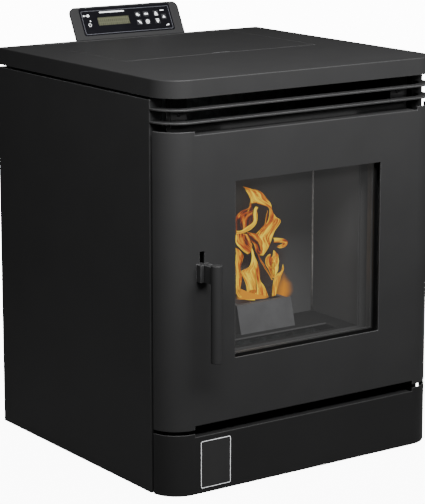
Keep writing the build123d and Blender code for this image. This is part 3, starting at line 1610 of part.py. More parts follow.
with BuildPart() as latch_keeper:
    bar_z = lever_z[0] + latch_thickness + seal_clearance + keeper_radius
    for side in (-1, 1):
        cheek_in = handle_x + side * keeper_cheek_in
        cheek = sorted((cheek_in, cheek_in + side * keeper_cheek))
        cheek_z = (bar_z - keeper_cheek_below, bar_z + keeper_cheek_above)
        block(cheek, (frame_back, frame_back + keeper_cheek_depth), cheek_z)
    with BuildSketch(Plane.YZ.offset(handle_x)):
        with Locations((frame_back + keeper_setback, bar_z)):
            Circle(keeper_radius)
    extrude(amount=keeper_cheek_in, both=True)
finish(latch_keeper, "latch_keeper")
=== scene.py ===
"""Looks of the pellet stove: its finishes, its fire, its printed panel and the studio round it."""

import math
import random

import bmesh
import bpy
from mathutils import Matrix, Vector, noise


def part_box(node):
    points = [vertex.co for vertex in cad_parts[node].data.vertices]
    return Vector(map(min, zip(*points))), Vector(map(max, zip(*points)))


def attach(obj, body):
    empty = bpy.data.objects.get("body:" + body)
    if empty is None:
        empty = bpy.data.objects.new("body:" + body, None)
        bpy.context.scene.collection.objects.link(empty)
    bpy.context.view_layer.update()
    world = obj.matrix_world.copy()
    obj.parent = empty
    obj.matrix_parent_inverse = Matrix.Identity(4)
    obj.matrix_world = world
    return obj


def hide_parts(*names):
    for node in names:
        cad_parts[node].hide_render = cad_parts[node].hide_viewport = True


bl_info = {
    "name": "Pellet stove",
    "version": (1, 0, 0),
    "blender": (4, 5, 0),
    "location": "View3D > Sidebar > Stove",
    "description": "Dresses a pellet stove with its finishes, fire and control panel print",
    "category": "Object",
}

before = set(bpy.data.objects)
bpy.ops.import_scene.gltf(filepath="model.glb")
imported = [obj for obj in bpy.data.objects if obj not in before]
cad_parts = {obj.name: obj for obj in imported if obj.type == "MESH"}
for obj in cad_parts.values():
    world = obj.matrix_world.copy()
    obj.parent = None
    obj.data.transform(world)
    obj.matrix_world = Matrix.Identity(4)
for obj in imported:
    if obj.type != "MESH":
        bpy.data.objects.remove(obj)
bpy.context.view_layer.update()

MM = 0.001

# ---------------- places taken from the frame

panel_lean = math.radians(27)
panel_up = Vector((0, math.sin(panel_lean), math.cos(panel_lean)))
panel_out = Vector((0, -math.cos(panel_lean), math.sin(panel_lean)))
cabinet_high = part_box("top_plate")[1]
panel_origin = Vector((0, cabinet_high.y, cabinet_high.z))
ink_lift = 0.05 * MM
ink_face = 0.3 * MM + ink_lift
head_radius, head_height, socket_depth = 4.5 * MM, 2.4 * MM, 1.3 * MM
stitch_length, stitch_depth, strands, stagger = 4 * MM, 0.35 * MM, 5, 1.6
pot_low, pot_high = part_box("burn_pot")


# ---------------- settings a user would change


class StoveFinish(bpy.types.PropertyGroup):
    """Colours of the stove's main finishes."""

    cabinet: bpy.props.FloatVectorProperty(
        name="Cabinet",
        description="Colour of the powder coat, as shown on screen",
        subtype="COLOR_GAMMA",
        default=(0.105, 0.105, 0.106),
        min=0,
        max=1,
    )
    coat_roughness: bpy.props.FloatProperty(
        name="Coat roughness",
        description="How matt the powder coat is",
        default=0.5,
        min=0,
        max=1,
        subtype="FACTOR",
    )
    liner: bpy.props.FloatVectorProperty(
        name="Fire chamber",
        description="Colour of the chamber's cast walls",
        subtype="COLOR_GAMMA",
        default=(0.25, 0.25, 0.25),
        min=0,
        max=1,
    )


class StoveFire(bpy.types.PropertyGroup):
    """Size and strength of the fire."""

    glow: bpy.props.FloatProperty(
        name="Glow",
        description="Strength of the flame's light",
        default=2.3,
        min=0,
        max=10,
    )
    pellets: bpy.props.IntProperty(
        name="Pellets",
        description="Number of pellets in the burn pot",
        default=110,
        min=0,
        max=400,
    )


class StoveStudio(bpy.types.PropertyGroup):
    """Light and camera."""

    key: bpy.props.FloatProperty(
        name="Key light",
        description="Power of the large soft light in front and above",
        default=48.0,
        min=0,
        unit="POWER",
    )
    top: bpy.props.FloatProperty(
        name="Top light",
        description="Power of the soft light above and behind",
        default=3.0,
        min=0,
        unit="POWER",
    )
    fill: bpy.props.FloatProperty(
        name="Fill light",
        description="Power of the weak soft light on the left",
        default=4.5,
        min=0,
        unit="POWER",
    )
    back: bpy.props.FloatProperty(
        name="Back light",
        description="Power of the low soft light behind, which shows the rear panel",
        default=110.0,
        min=0,
        unit="POWER",
    )
    hearth: bpy.props.FloatProperty(
        name="Hearth light",
        description="Power of the weak soft light just behind the window, which shows the chamber",
        default=0.27,
        min=0,
        unit="POWER",
    )
    world: bpy.props.FloatProperty(
        name="Room light",
        description="Strength of the even light from all round",
        default=0.055,
        min=0,
        max=5,
    )
    backdrop: bpy.props.FloatProperty(
        name="Backdrop",
        description="How bright the room behind the stove looks",
        default=13.0,
        min=0,
        max=20,
    )
    lens: bpy.props.FloatProperty(
        name="Lens",
        description="Focal length of the camera",
        default=148.2,
        min=1,
        unit="CAMERA",
    )


# ---------------- materials


def screen_colour(code):
    """Linear colour of an sRGB hex code such as '#2b2b2c'."""
    parts = [int(code[i : i + 2], 16) / 255 for i in (1, 3, 5)]
    return linear_colour(parts)


def linear_colour(parts):
    """Linear colour of three sRGB values from 0 to 1, with alpha 1."""
    linear = [p / 12.92 if p <= 0.04045 else ((p + 0.055) / 1.055) ** 2.4 for p in parts]
    return (*linear, 1.0)


def feed(tree, node, inputs):
    """Gives inputs of a node, by name or in their own order, a value or a link from a socket."""
    for name, value in inputs.items() if isinstance(inputs, dict) else enumerate(inputs):
        socket = node.inputs[name]
        if isinstance(value, bpy.types.NodeSocket):
            tree.links.new(value, socket)
        else:
            socket.default_value = value


def add_node(tree, kind, inputs=(), stops=(), **settings):
    """Adds a node with its properties, its inputs and, for a colour ramp, its stops.

    A stop is a position and a colour, and a ramp has two or more.
    """
    node = tree.nodes.new(kind)
    for name, value in settings.items():
        setattr(node, name, value)
    for index, (position, colour) in enumerate(stops):
        ramp = node.color_ramp.elements
        stop = ramp[index] if index < 2 else ramp.new(position)
        stop.position, stop.color = position, colour
    feed(tree, node, inputs)
    return node


def new_material(name):
    """Material whose shader reaches its output, with nothing set on the shader yet."""
    material = bpy.data.materials.new(name)
    material.use_nodes = True
    tree = material.node_tree
    tree.nodes.clear()
    shader = add_node(tree, "ShaderNodeBsdfPrincipled")
    add_node(tree, "ShaderNodeOutputMaterial", {"Surface": shader.outputs["BSDF"]})
    return material, tree, shader


def shader_of(material):
    """Shader of a finished material."""
    return next(node for node in material.node_tree.nodes if node.type == "BSDF_PRINCIPLED")


def shade(material, *limits):
    """Multiplies a material's colour by a smooth step.

    limits are the step's value, the two numbers it runs between and what it gives at each.
    """
    tree, shader = material.node_tree, shader_of(material)
    factor = add_node(tree, "ShaderNodeMapRange", limits, interpolation_type="SMOOTHSTEP")
    colour = shader.inputs["Base Color"].links[0].from_socket
    product = {0: colour, "Scale": factor.outputs["Result"]}
    toned = add_node(tree, "ShaderNodeVectorMath", product, operation="SCALE")
    feed(tree, shader, {"Base Color": toned.outputs["Vector"]})


def grained(
    name,
    colour,
    grain_mm,
    depth_mm,
    roughness,
    shift=0.12,
    patch_mm=90,
    edge=None,
    recess=None,
    **extra,
):
    """Surface with a fine bumpy grain, broad faint patches of tone and uneven gloss.

    edge is (radius in mm, gain): edges look rounded, and a painted highlight makes them lighter by
    the gain.
    recess is (reach in mm, share): painted shade drops the tone to the share in gaps and recesses.
    """
    material, tree, shader = new_material(name)
    place = add_node(tree, "ShaderNodeTexCoord").outputs["Object"]
    noises = []
    for size_mm, detail, rough in ((grain_mm, 2.0, 0.55), (patch_mm, 3.0, 0.6)):
        scale = {"Vector": place, "Scale": 1 / (size_mm * MM), "Detail": detail, "Roughness": rough}
        noises.append(add_node(tree, "ShaderNodeTexNoise", scale).outputs["Fac"])
    grain, patch = noises
    dark = tuple(c * (1 - shift) for c in colour[:3]) + (1.0,)
    light = tuple(c * (1 + shift) for c in colour[:3]) + (1.0,)
    tones = ((0.35, dark), (0.65, light))
    spread = 0.06
    least, most = max(roughness - spread, 0), min(roughness + spread, 1)
    glint = {"Value": grain, "To Min": least, "To Max": most}
    gloss = add_node(tree, "ShaderNodeMapRange", glint).outputs["Result"]
    relief = {"Height": grain, "Strength": 0.35, "Distance": depth_mm * MM}
    painted_light = []
    # Painted highlight: where the rounded normal turns away from the flat one, the colour rises by
    # up to the gain.
    if edge:
        radius, highlight_gain = edge
        soft = add_node(tree, "ShaderNodeBevel", {"Radius": radius * MM}, samples=6)
        relief["Normal"] = soft.outputs["Normal"]
        flat = add_node(tree, "ShaderNodeNewGeometry").outputs["Normal"]
        normals = (relief["Normal"], flat)
        bend = add_node(tree, "ShaderNodeVectorMath", normals, operation="DOT_PRODUCT")
        level, rounded = 0.99, 0.86
        painted_light.append((bend.outputs["Value"], level, rounded, 1.0, highlight_gain))
    # Painted shade: ambient occlusion darkens the colour to the share in gaps and recesses within
    # reach.
    if recess:
        reach, share = recess
        gap = {"Distance": reach * MM}
        open_sky = add_node(tree, "ShaderNodeAmbientOcclusion", gap, samples=8).outputs["AO"]
        hidden, exposed = 0.1, 0.6
        painted_light.append((open_sky, hidden, exposed, share, 1.0))
    surface = {
        "Base Color": add_node(tree, "ShaderNodeValToRGB", (patch,), tones).outputs["Color"],
        "Roughness": gloss,
        "Normal": add_node(tree, "ShaderNodeBump", relief).outputs["Normal"],
    }
    feed(tree, shader, {**surface, **extra})
    for limits in painted_light:
        shade(material, *limits)
    return material


def powder_coat(name, finish, share, **surface_and_painted_light):
    """Powder coat on sheet steel, sprayed and baked, at a share of the cabinet's colour.

    The eye sees an even satin black with a very fine orange peel, real bumps of about 1 mm.
    """
    colour = [part * share for part in linear_colour(finish.cabinet)[:3]] + [1.0]
    return grained(
        name, colour, grain_mm=1.1, depth_mm=0.05, **surface_and_painted_light, **{"Specular IOR Level": 0.2}
    )


def enamel_with_painted_reveal_shade():
    """Baked enamel of the frame that holds the glass: near black in front, painted shade for the
    window's reveal, and 18 times lighter behind the pane, with a painted highlight on its edges.
    """
    material = grained(
        "Baked black enamel, painted reveal shade",
        screen_colour("#050505"),
        grain_mm=0.9,
        depth_mm=0.04,
        roughness=0.36,
        shift=0.2,
        patch_mm=40,
        edge=(1.0, 3.0),
    )
    tree = material.node_tree
    place = add_node(tree, "ShaderNodeTexCoord").outputs["Object"]
    depth = add_node(tree, "ShaderNodeSeparateXYZ", {"Vector": place}).outputs["Y"]
    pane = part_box("door_glass")[1].y
    shade(material, depth, pane - 1 * MM, pane + 1 * MM, 1.0, 18.0)
    return material


def chamber_plate(finish):
    """Cast and sheet plates of the fire chamber: even grey, sand-cast grain, far darker on faces
    that look up.

    Near the door they are a little darker as well, painted shade against the hearth light on the
    front flange.
    """
    material = grained(
        "Sooted grey iron",
        linear_colour(finish.liner),
        grain_mm=1.6,
        depth_mm=0.03,
        roughness=0.9,
        shift=0.05,
        patch_mm=120,
        **{"Specular IOR Level": 0.05},
    )
    tree = material.node_tree
    facing = add_node(tree, "ShaderNodeNewGeometry").outputs["Normal"]
    upward = add_node(tree, "ShaderNodeSeparateXYZ", {"Vector": facing}).outputs["Z"]
    place = add_node(tree, "ShaderNodeTexCoord").outputs["Object"]
    depth = add_node(tree, "ShaderNodeSeparateXYZ", {"Vector": place}).outputs["Y"]
    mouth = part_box("firebox_shell")[0].y
    shade(material, upward, 0.4, 0.9, 1.0, 0.15)
    # Painted shade: down to 0.7 within 40 mm of the chamber's mouth.
    shade(material, depth, mouth, mouth + 40 * MM, 0.7, 1.0)
    return material


def galvanised():
    """Hot-dip galvanised sheet: bright grey with the crystal spangle, 8 to 12 mm across."""
    material, tree, shader = new_material("Galvanised sheet")
    place = add_node(tree, "ShaderNodeTexCoord").outputs["Object"]
    spangle = add_node(tree, "ShaderNodeTexVoronoi", {"Vector": place, "Scale": 105.0})
    value = add_node(tree, "ShaderNodeSeparateColor", {"Color": spangle.outputs["Color"]}).outputs
    tones = ((0.0, screen_colour("#8f9394")), (1.0, screen_colour("#b4b8b9")))
    tone = add_node(tree, "ShaderNodeValToRGB", (value["Red"],), tones).outputs["Color"]
    glint = {"Value": value["Green"], "To Min": 0.34, "To Max": 0.52}
    gloss = add_node(tree, "ShaderNodeMapRange", glint).outputs["Result"]
    feed(tree, shader, {"Base Color": tone, "Roughness": gloss, "Metallic": 0.9})
    return material


def ceramic_glass():
    """Rolled glass-ceramic pane: clear, with a thin grey film of ash.

    The film's faint light stands in for the fire's light that ash scatters.
    """
    material, tree, shader = new_material("Filmed glass-ceramic")
    place = add_node(tree, "ShaderNodeTexCoord").outputs["Object"]
    ash = {"Vector": place, "Scale": 6.0, "Detail": 2.0}
    cover = add_node(tree, "ShaderNodeTexNoise", ash).outputs["Fac"]
    film = {"Value": cover, "To Min": 0.20, "To Max": 0.23}
    surface = {
        "Base Color": screen_colour("#1a1a1a"),
        "Roughness": 0.06,
        "Alpha": add_node(tree, "ShaderNodeMapRange", film).outputs["Result"],
        "IOR": 1.53,
        "Emission Color": screen_colour("#ffffff"),
        "Emission Strength": 0.052,
    }
    feed(tree, shader, surface)
    return material


def liquid_crystal():
    """Liquid-crystal window: olive, with two rows of faint darker character cells, 4.45 mm wide."""
    material, tree, shader = new_material("Olive liquid crystal")
    place = add_node(tree, "ShaderNodeTexCoord").outputs["Object"]
    lean = {"Vector": place, "Rotation": (-panel_lean - math.pi / 2, 0, 0)}
    flat = add_node(tree, "ShaderNodeMapping", lean, vector_type="TEXTURE").outputs["Vector"]
    grid = {
        "Vector": flat,
        "Color1": screen_colour("#333427"),
        "Color2": screen_colour("#2c2d21"),
        "Mortar": screen_colour("#404132"),
        "Scale": 1.0,
        "Mortar Size": 0.9 * MM,
        "Mortar Smooth": 0.4,
        "Brick Width": 4.45 * MM,
        "Row Height": 7.5 * MM,
    }
    cells = add_node(tree, "ShaderNodeTexBrick", grid, offset=0.0).outputs["Color"]
    feed(tree, shader, {"Base Color": cells, "Roughness": 0.22})
    return material


# Finishes with nothing but a grain: what each is called, its colour, its grain and the grain's
# depth in mm, its roughness, how far its tone shifts, the size of its patches in mm, and what else
# its shader is given.
plain_finishes = {
    # Heat-proof paint, brushed on thick plate: flat black, slightly sooty in patches.
    "paint": (
        "Matt black stove paint", "#222223", 0.8, 0.12, 0.82, 0.25, 35, {"Specular IOR Level": 0.2}
    ),
    # Heat-resistant steel of the burner: a dull grey, matt from heat.
    "steel": (
        "Heat-dulled stainless steel", "#3e3e3f", 1.2, 0.06, 0.62, 0.14, 30, {"Metallic": 0.35}
    ),
    # Ground weld down the chamber's corners: bare metal, lighter than the plates it joins, and so a
    # painted highlight along each corner.
    "weld": ("Ground weld seam with painted highlight", "#a6a5a3", 1.0, 0.1, 0.6, 0.25, 9, {}),
    # Zinc-plated steel: a smooth bright grey with a faint warm bloom.
    "zinc": ("Zinc-plated steel", "#a9a79f", 3.0, 0.02, 0.36, 0.1, 15, {"Metallic": 1.0}),
    # Black-passivated zinc of the screws: near black with a soft metallic sheen.
    "black_zinc": ("Black-passivated zinc", "#2a2a2b", 2.0, 0.02, 0.42, 0.12, 5, {"Metallic": 0.7}),
    # Die-cast aluminium: pale grey, a little rough, with flow marks.
    "die_cast": ("Die-cast aluminium", "#a7a8aa", 1.4, 0.08, 0.5, 0.1, 25, {"Metallic": 0.9}),
    # Moulded ABS of the control panel's case: dark grey with a fine spark-eroded grain.
    "grey_plastic": (
        "Moulded dark grey ABS", "#0d0d0e", 0.7, 0.08, 0.7, 0.06, 60, {"Specular IOR Level": 0.28}
    ),
    # Polished acrylic front of the control panel: deep black and mirror smooth.
    "acrylic": ("Gloss black acrylic", "#0a0a0d", 14.0, 0.01, 0.09, 0.1, 90, {}),
    # Silicone-coated key caps: black, a touch softer in gloss than the acrylic round them.
    "key": ("Satin black key cap", "#0f0f13", 2.0, 0.02, 0.28, 0.1, 90, {}),
    # Moulded polyamide of the mains inlet.
    "black_plastic": ("Moulded black polyamide", "#1c1c1d", 0.8, 0.06, 0.5, 0.1, 90, {}),
    # Rubber of the feet: dull black, dusty in patches.
    "rubber": ("Vulcanised rubber", "#1d1d1e", 1.0, 0.1, 0.9, 0.3, 12, {}),
    # Silicone strip of the hopper seal: dark, soft sheen.
    "silicone": ("Extruded silicone", "#2f2c2b", 1.5, 0.03, 0.6, 0.1, 90, {}),
    # Glass-fibre rope: pale grey, matt, greyer where soot has settled.
    "rope": ("Knitted glass fibre", "#77736d", 0.9, 0.25, 0.95, 0.3, 18, {}),
    # Ink of the marks: off-white, matt, a little uneven in coverage.
    "white_ink": ("Off-white screen print", "#d9dadc", 0.6, 0.01, 0.6, 0.08, 6, {}),
    # Painted reflection: the dark grey line round the control panel, just off the black under it,
    # stands in for light caught along the glossy fascia's raised rim.
    "reflection_line_grey": ("Dark grey painted reflection line", "#393a40", 0.6, 0.01, 0.6, 0.08, 6, {}),
}


def plain_finish(kind):
    """Material of one of the plain finishes."""
    name, code, grain_mm, depth_mm, roughness, shift, patch_mm, extra = plain_finishes[kind]
    colour = screen_colour(code)
    return grained(name, colour, grain_mm, depth_mm, roughness, shift, patch_mm, **extra)


def glowing_pellet():
    """Burning wood pellets: grey ash on the outside, orange heat between."""
    material, tree, shader = new_material("Glowing pressed wood")
    place = add_node(tree, "ShaderNodeTexCoord").outputs["Object"]
    patches = {"Vector": place, "Scale": 130.0, "Detail": 3.0, "Roughness": 0.6}
    heat = add_node(tree, "ShaderNodeTexNoise", patches).outputs["Fac"]
    ash = ((0.4, screen_colour("#6a5f56")), (0.6, screen_colour("#1a0f0a")))
    glow = ((0.42, screen_colour("#000000")), (0.68, screen_colour("#ff7a1c")))
    surface = {
        "Base Color": add_node(tree, "ShaderNodeValToRGB", (heat,), ash).outputs["Color"],
        "Roughness": 0.9,
        "Emission Color": add_node(tree, "ShaderNodeValToRGB", (heat,), glow).outputs["Color"],
        "Emission Strength": 2.2,
    }
    feed(tree, shader, surface)
    return material


def burning_gas(fire):
    """Flame: dark red to orange gas with bright yellow rims and folds, and edges that fade away.

    It reads three maps of the licks. "edge" has the distance from the nearest side in metres and
    the share of the way from foot to tip. "gas" has the distances across and along in metres, each
    lick in a place of its own. "nature" has how hot the lick is and over what distance its edge
    fades.
    """
    material, tree, shader = new_material("Burning wood gas")
    maps = {
        name: add_node(tree, "ShaderNodeUVMap", uv_map=name).outputs["UV"]
        for name in ("edge", "gas", "nature")
    }
    edge, nature = (
        add_node(tree, "ShaderNodeSeparateXYZ", {"Vector": maps[name]}).outputs
        for name in ("edge", "nature")
    )
    # Each swirl is drawn out along the lick: its size across and along in mm, and its distortion.
    swirls = []
    for across_mm, along_mm, distortion in ((11, 46, 0.6), (3.2, 44, 0.8), (9, 50, 1.1)):
        size = (1 / (across_mm * MM), 1 / (along_mm * MM), 1.0)
        stretched = add_node(tree, "ShaderNodeMapping", {"Vector": maps["gas"], "Scale": size})
        swirl = {
            "Vector": stretched.outputs["Vector"],
            "Scale": 1.0,
            "Detail": 2.0,
            "Roughness": 0.5,
            "Distortion": distortion,
        }
        swirls.append(add_node(tree, "ShaderNodeTexNoise", swirl).outputs["Fac"])
    fold = swirls[2]
    for operation, number in (("SUBTRACT", 0.5), ("ABSOLUTE", 0.0)):
        fold = add_node(tree, "ShaderNodeMath", (fold, number), operation=operation).outputs[0]
    pair = (edge["X"], nature["Y"])
    inward = add_node(tree, "ShaderNodeMath", pair, operation="DIVIDE").outputs[0]
    # Smooth steps, as in shade.
    ranges = {
        "broad": (swirls[0], 0.3, 0.7, -0.4, 0.16),
        "streak": (swirls[1], 0.3, 0.7, -0.13, 0.1),
        "fold": (fold, 0.0, 0.03, 0.22, 0.0),
        "rim": (inward, 0.45, 1.5, 0.3, 0.0),
        "crisp": (nature["Y"], 0.002, 0.006, 1.0, 0.0),
        "side": (inward, 0.0, 1.0, 0.0, 1.0),
        "tip": (edge["Y"], 0.93, 1.0, 1.0, 0.0),
        "foot": (edge["Y"], 0.0, 0.04, 0.0, 1.0),
    }
    part = {}
    for name, limits in ranges.items():
        step = add_node(tree, "ShaderNodeMapRange", limits, interpolation_type="SMOOTHSTEP")
        part[name] = step.outputs["Result"]
    # Licks with sharp sides add rims, folds and streaks to their heat; those with soft ones don't.
    heat = part["rim"]
    for operation, other in (("MAXIMUM", "fold"), ("ADD", "streak"), ("ADD", "broad")):
        pair = (heat, part[other])
        heat = add_node(tree, "ShaderNodeMath", pair, operation=operation).outputs[0]
    terms = (heat, part["crisp"], nature["X"])
    heat = add_node(tree, "ShaderNodeMath", terms, operation="MULTIPLY_ADD").outputs[0]
    # Colour of the gas from cool to hot, and how bright it is there.
    colours = (
        (0.0, "#8a3c18", 0.08),
        (0.2, "#c04000", 0.15),
        (0.38, "#ff6200", 0.26),
        (0.52, "#ff8c00", 0.39),
        (0.66, "#ffb400", 0.50),
        (0.8, "#ffcc00", 0.58),
        (1.0, "#ffdc28", 0.74),
    )
    stops = [
        (at, [channel * share for channel in screen_colour(code)[:3]] + [1.0])
        for at, code, share in colours
    ]
    limits = (heat, 0.0, 0.5, 0.2, 1.0)
    step = add_node(tree, "ShaderNodeMapRange", limits, interpolation_type="SMOOTHSTEP")
    alpha = step.outputs["Result"]
    for name in ("side", "tip", "foot"):
        pair = (alpha, part[name])
        alpha = add_node(tree, "ShaderNodeMath", pair, operation="MULTIPLY").outputs[0]
    surface = {
        "Base Color": screen_colour("#000000"),
        "Roughness": 1.0,
        "Specular IOR Level": 0.0,
        "Emission Color": add_node(tree, "ShaderNodeValToRGB", (heat,), stops).outputs["Color"],
        "Emission Strength": fire.glow,
        "Alpha": alpha,
    }
    feed(tree, shader, surface)
    return material


def studio_paper():
    """Pale paper of the studio floor, thin enough to glow, which melts into the backdrop."""
    material = grained("Pale studio paper", screen_colour("#b4b4b4"), 2.0, 0.02, 0.9, 0.01, 900)
    tree = material.node_tree
    place = add_node(tree, "ShaderNodeTexCoord").outputs["Object"]
    away = add_node(tree, "ShaderNodeVectorMath", (place,), operation="LENGTH").outputs["Value"]
    limits = (away, 0.5, 2.2, 0.2, 0.0)
    cover = add_node(tree, "ShaderNodeMapRange", limits, interpolation_type="SMOOTHSTEP")
    feed(tree, shader_of(material), {"Alpha": cover.outputs["Result"]})
    return material


# ---------------- mesh helpers


def make_piece(name, bm, material, body, smooth=True):
    """Turns a bmesh into an object at the origin that rides on a body."""
    mesh = bpy.data.meshes.new(name)
    bm.to_mesh(mesh)
    bm.free()
    for face in mesh.polygons:
        face.use_smooth = smooth
    mesh.materials.append(material)
    piece = bpy.data.objects.new(name, mesh)
    bpy.context.scene.collection.objects.link(piece)
    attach(piece, body)
    return piece


def on_panel(x, s):
    """Point of the ink on the leaning control panel: x across, s up the slope, in millimetres."""
    return panel_origin + Vector((x * MM, 0, 0)) + panel_up * (s * MM) + panel_out * ink_face


panel_turn = Matrix(
    ((1, panel_up.x, panel_out.x), (0, panel_up.y, panel_out.y), (0, panel_up.z, panel_out.z))
).to_4x4()


def print_mark(bm, shape, x, s, turn):
    """Adds one printed mark to bm: a disc, ring, bar or triangle laid flat on the panel."""
    kind, *sizes = shape
    place = Matrix.Translation(on_panel(x, s)) @ panel_turn
    place = place @ Matrix.Rotation(math.radians(turn), 4, "Z")
    if kind == "bar":
        size = Matrix.Diagonal((sizes[0] * MM, sizes[1] * MM, 1, 1))
        bmesh.ops.create_grid(bm, x_segments=1, y_segments=1, size=0.5, matrix=place @ size)
        return
    segments = 3 if kind == "triangle" else 24
    made = bmesh.ops.create_circle(
        bm, cap_ends=True, segments=segments, radius=sizes[0] * MM, matrix=place
    )
    if kind == "ring":
        face = made["verts"][0].link_faces[0]
        bmesh.ops.inset_region(bm, faces=[face], thickness=sizes[1] * MM, use_boundary=True)
        bmesh.ops.delete(bm, geom=[face], context="FACES_ONLY")


# ---------------- operators

cad_finishes = {
    "coat": (
        "left_side_panel", "right_side_panel", "rear_panel", "front_frame", "top_plate",
        "badge_plate", "louvre_slats", "hopper_lid", "lid_hinge_leaf", "door_skin",
        "handle_bracket", "handle_lever", "handle_rod",
    ),
    # The plinth's finish is a shaded copy of the coat: painted shade.
    "plinth": ("plinth_panel",),
    "dusty": ("louvre_brackets",),
    "enamel": ("door_inner_frame",),
    "paint": ("flue_spigot", "door_hinge_brackets", "door_hinge_eyes"),
    "chamber": ("firebox_liners", "firebox_shell", "baffle_plate", "burner_housing"),
    "steel": ("burner_front_plate", "burn_pot", "igniter", "auger_screw", "exhaust_fan_impeller"),
    "galvanised": (
        "base_tray", "ash_pan", "smoke_duct", "air_intake_pipe", "hopper_bin", "room_fan_housing",
    ),
    "zinc": (
        "exhaust_fan_motor", "auger_tube", "auger_gear_motor", "pellet_chute", "room_fan_motor",
        "lid_hinge_pin", "latch_keeper",
    ),
    "die_cast": ("exhaust_fan_housing", "room_fan_drum"),
    "grey_plastic": ("display_housing",),
    "acrylic": ("display_fascia",),
    "key": tuple("key_" + k for k in ("menu", "timer", "fan", "fuel", "up", "down", "enter")),
    "black_plastic": ("power_inlet", "mains_rocker"),
    "rubber": ("levelling_feet",),
    "silicone": ("hopper_seal",),
    "glass": ("door_glass",),
    "display": ("lcd_module",),
}


class STOVE_OT_finishes(bpy.types.Operator):
    """Gives each solid of the stove its finish"""

    bl_idname = "stove.finishes"
    bl_label = "Finishes"

    def execute(self, context):
        finish = context.scene.stove_finish
        # Each coat's edge value gives it a painted highlight along its edges, and satin's recess
        # value gives painted shade in gaps and recesses, down to 0.12 of the tone.
        satin = {"roughness": finish.coat_roughness, "shift": 0.05, "recess": (28, 0.12)}
        dull = {"roughness": 0.7, "shift": 0.12, "patch_mm": 25}
        made = {kind: plain_finish(kind) for kind in plain_finishes if kind in cad_finishes}
        made["coat"] = powder_coat("Satin black powder coat", finish, 1.0, edge=(1.5, 4.5), **satin)
        # Painted shade: the plinth gets a copy of the coat at half the cabinet's colour, so it
        # reads darker than the door above.
        name = "Satin black powder coat, painted shade"
        made["plinth"] = powder_coat(name, finish, 0.5, edge=(1.5, 6.0), **satin)
        # Greyed by the dust that the fan blows through the louvre.
        made["dusty"] = powder_coat("Dusty black powder coat", finish, 1.5, edge=(1.2, 2.2), **dull)
        made["enamel"] = enamel_with_painted_reveal_shade()
        made["chamber"] = chamber_plate(finish)
        made["galvanised"] = galvanised()
        made["glass"] = ceramic_glass()
        made["display"] = liquid_crystal()
        for finish_name, nodes in cad_finishes.items():
            for node in nodes:
                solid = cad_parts[node]
                if not solid.material_slots:
                    solid.data.materials.append(made[finish_name])
                for material_slot in solid.material_slots:
                    material_slot.material = made[finish_name]
        return {"FINISHED"}


class STOVE_OT_screws(bpy.types.Operator):
    """Adds the pan-head screws of the louvre brackets and the rear edges"""

    bl_idname = "stove.screws"
    bl_label = "Screws"

    def execute(self, context):
        low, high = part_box("panel_screws")
        front, back = low.y + head_height, high.y - head_height
        # Two on the louvre brackets and eight at the rear: x, y, z and the way each faces.
        places = [(side * 240, front, 670, 1) for side in (-1, 1)]
        places += [(side * 292, back, z, -1) for side in (-1, 1) for z in (70, 260, 450, 640)]
        bm = bmesh.new()
        for x, y, z, facing in places:
            self.head(bm, x * MM, y, z * MM, facing)
        piece = make_piece("screw_heads", bm, plain_finish("black_zinc"), "cabinet")
        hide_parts("panel_screws")
        return {"FINISHED"}

    def head(self, bm, x, y, z, facing):
        """One domed head with a six-lobed socket."""
        earlier = set(bm.verts)
        dome, rings = math.radians(62), 5
        made = bmesh.ops.create_circle(bm, cap_ends=True, segments=24, radius=head_radius)
        face = made["verts"][0].link_faces[0]
        for ring in range(rings):
            face = bmesh.ops.extrude_discrete_faces(bm, faces=[face])["faces"][0]
            last, angle = ring / rings * dome, (ring + 1) / rings * dome
            narrow = math.cos(angle) / math.cos(last)
            bmesh.ops.scale(bm, vec=(narrow, narrow, 1), verts=face.verts)
            lift = head_height / math.sin(dome) * (math.sin(angle) - math.sin(last))
            bmesh.ops.translate(bm, vec=(0, 0, lift), verts=face.verts)
        lobes, swing, rim = 6, 0.16, 0.25 * MM
        bmesh.ops.inset_region(bm, faces=[face], thickness=rim)
        for vert in face.verts:
            lobe = 1 + swing * math.cos(lobes * math.atan2(vert.co.y, vert.co.x))
            vert.co.x *= lobe
            vert.co.y *= lobe
        face = bmesh.ops.extrude_discrete_faces(bm, faces=[face])["faces"][0]
        bmesh.ops.translate(bm, vec=(0, 0, -socket_depth), verts=face.verts)
        place = Matrix.Translation((x, y, z)) @ Matrix.Rotation(math.pi / 2 * facing, 4, "X")
        head = [vert for vert in bm.verts if vert not in earlier]
        bmesh.ops.transform(bm, matrix=place, verts=head)


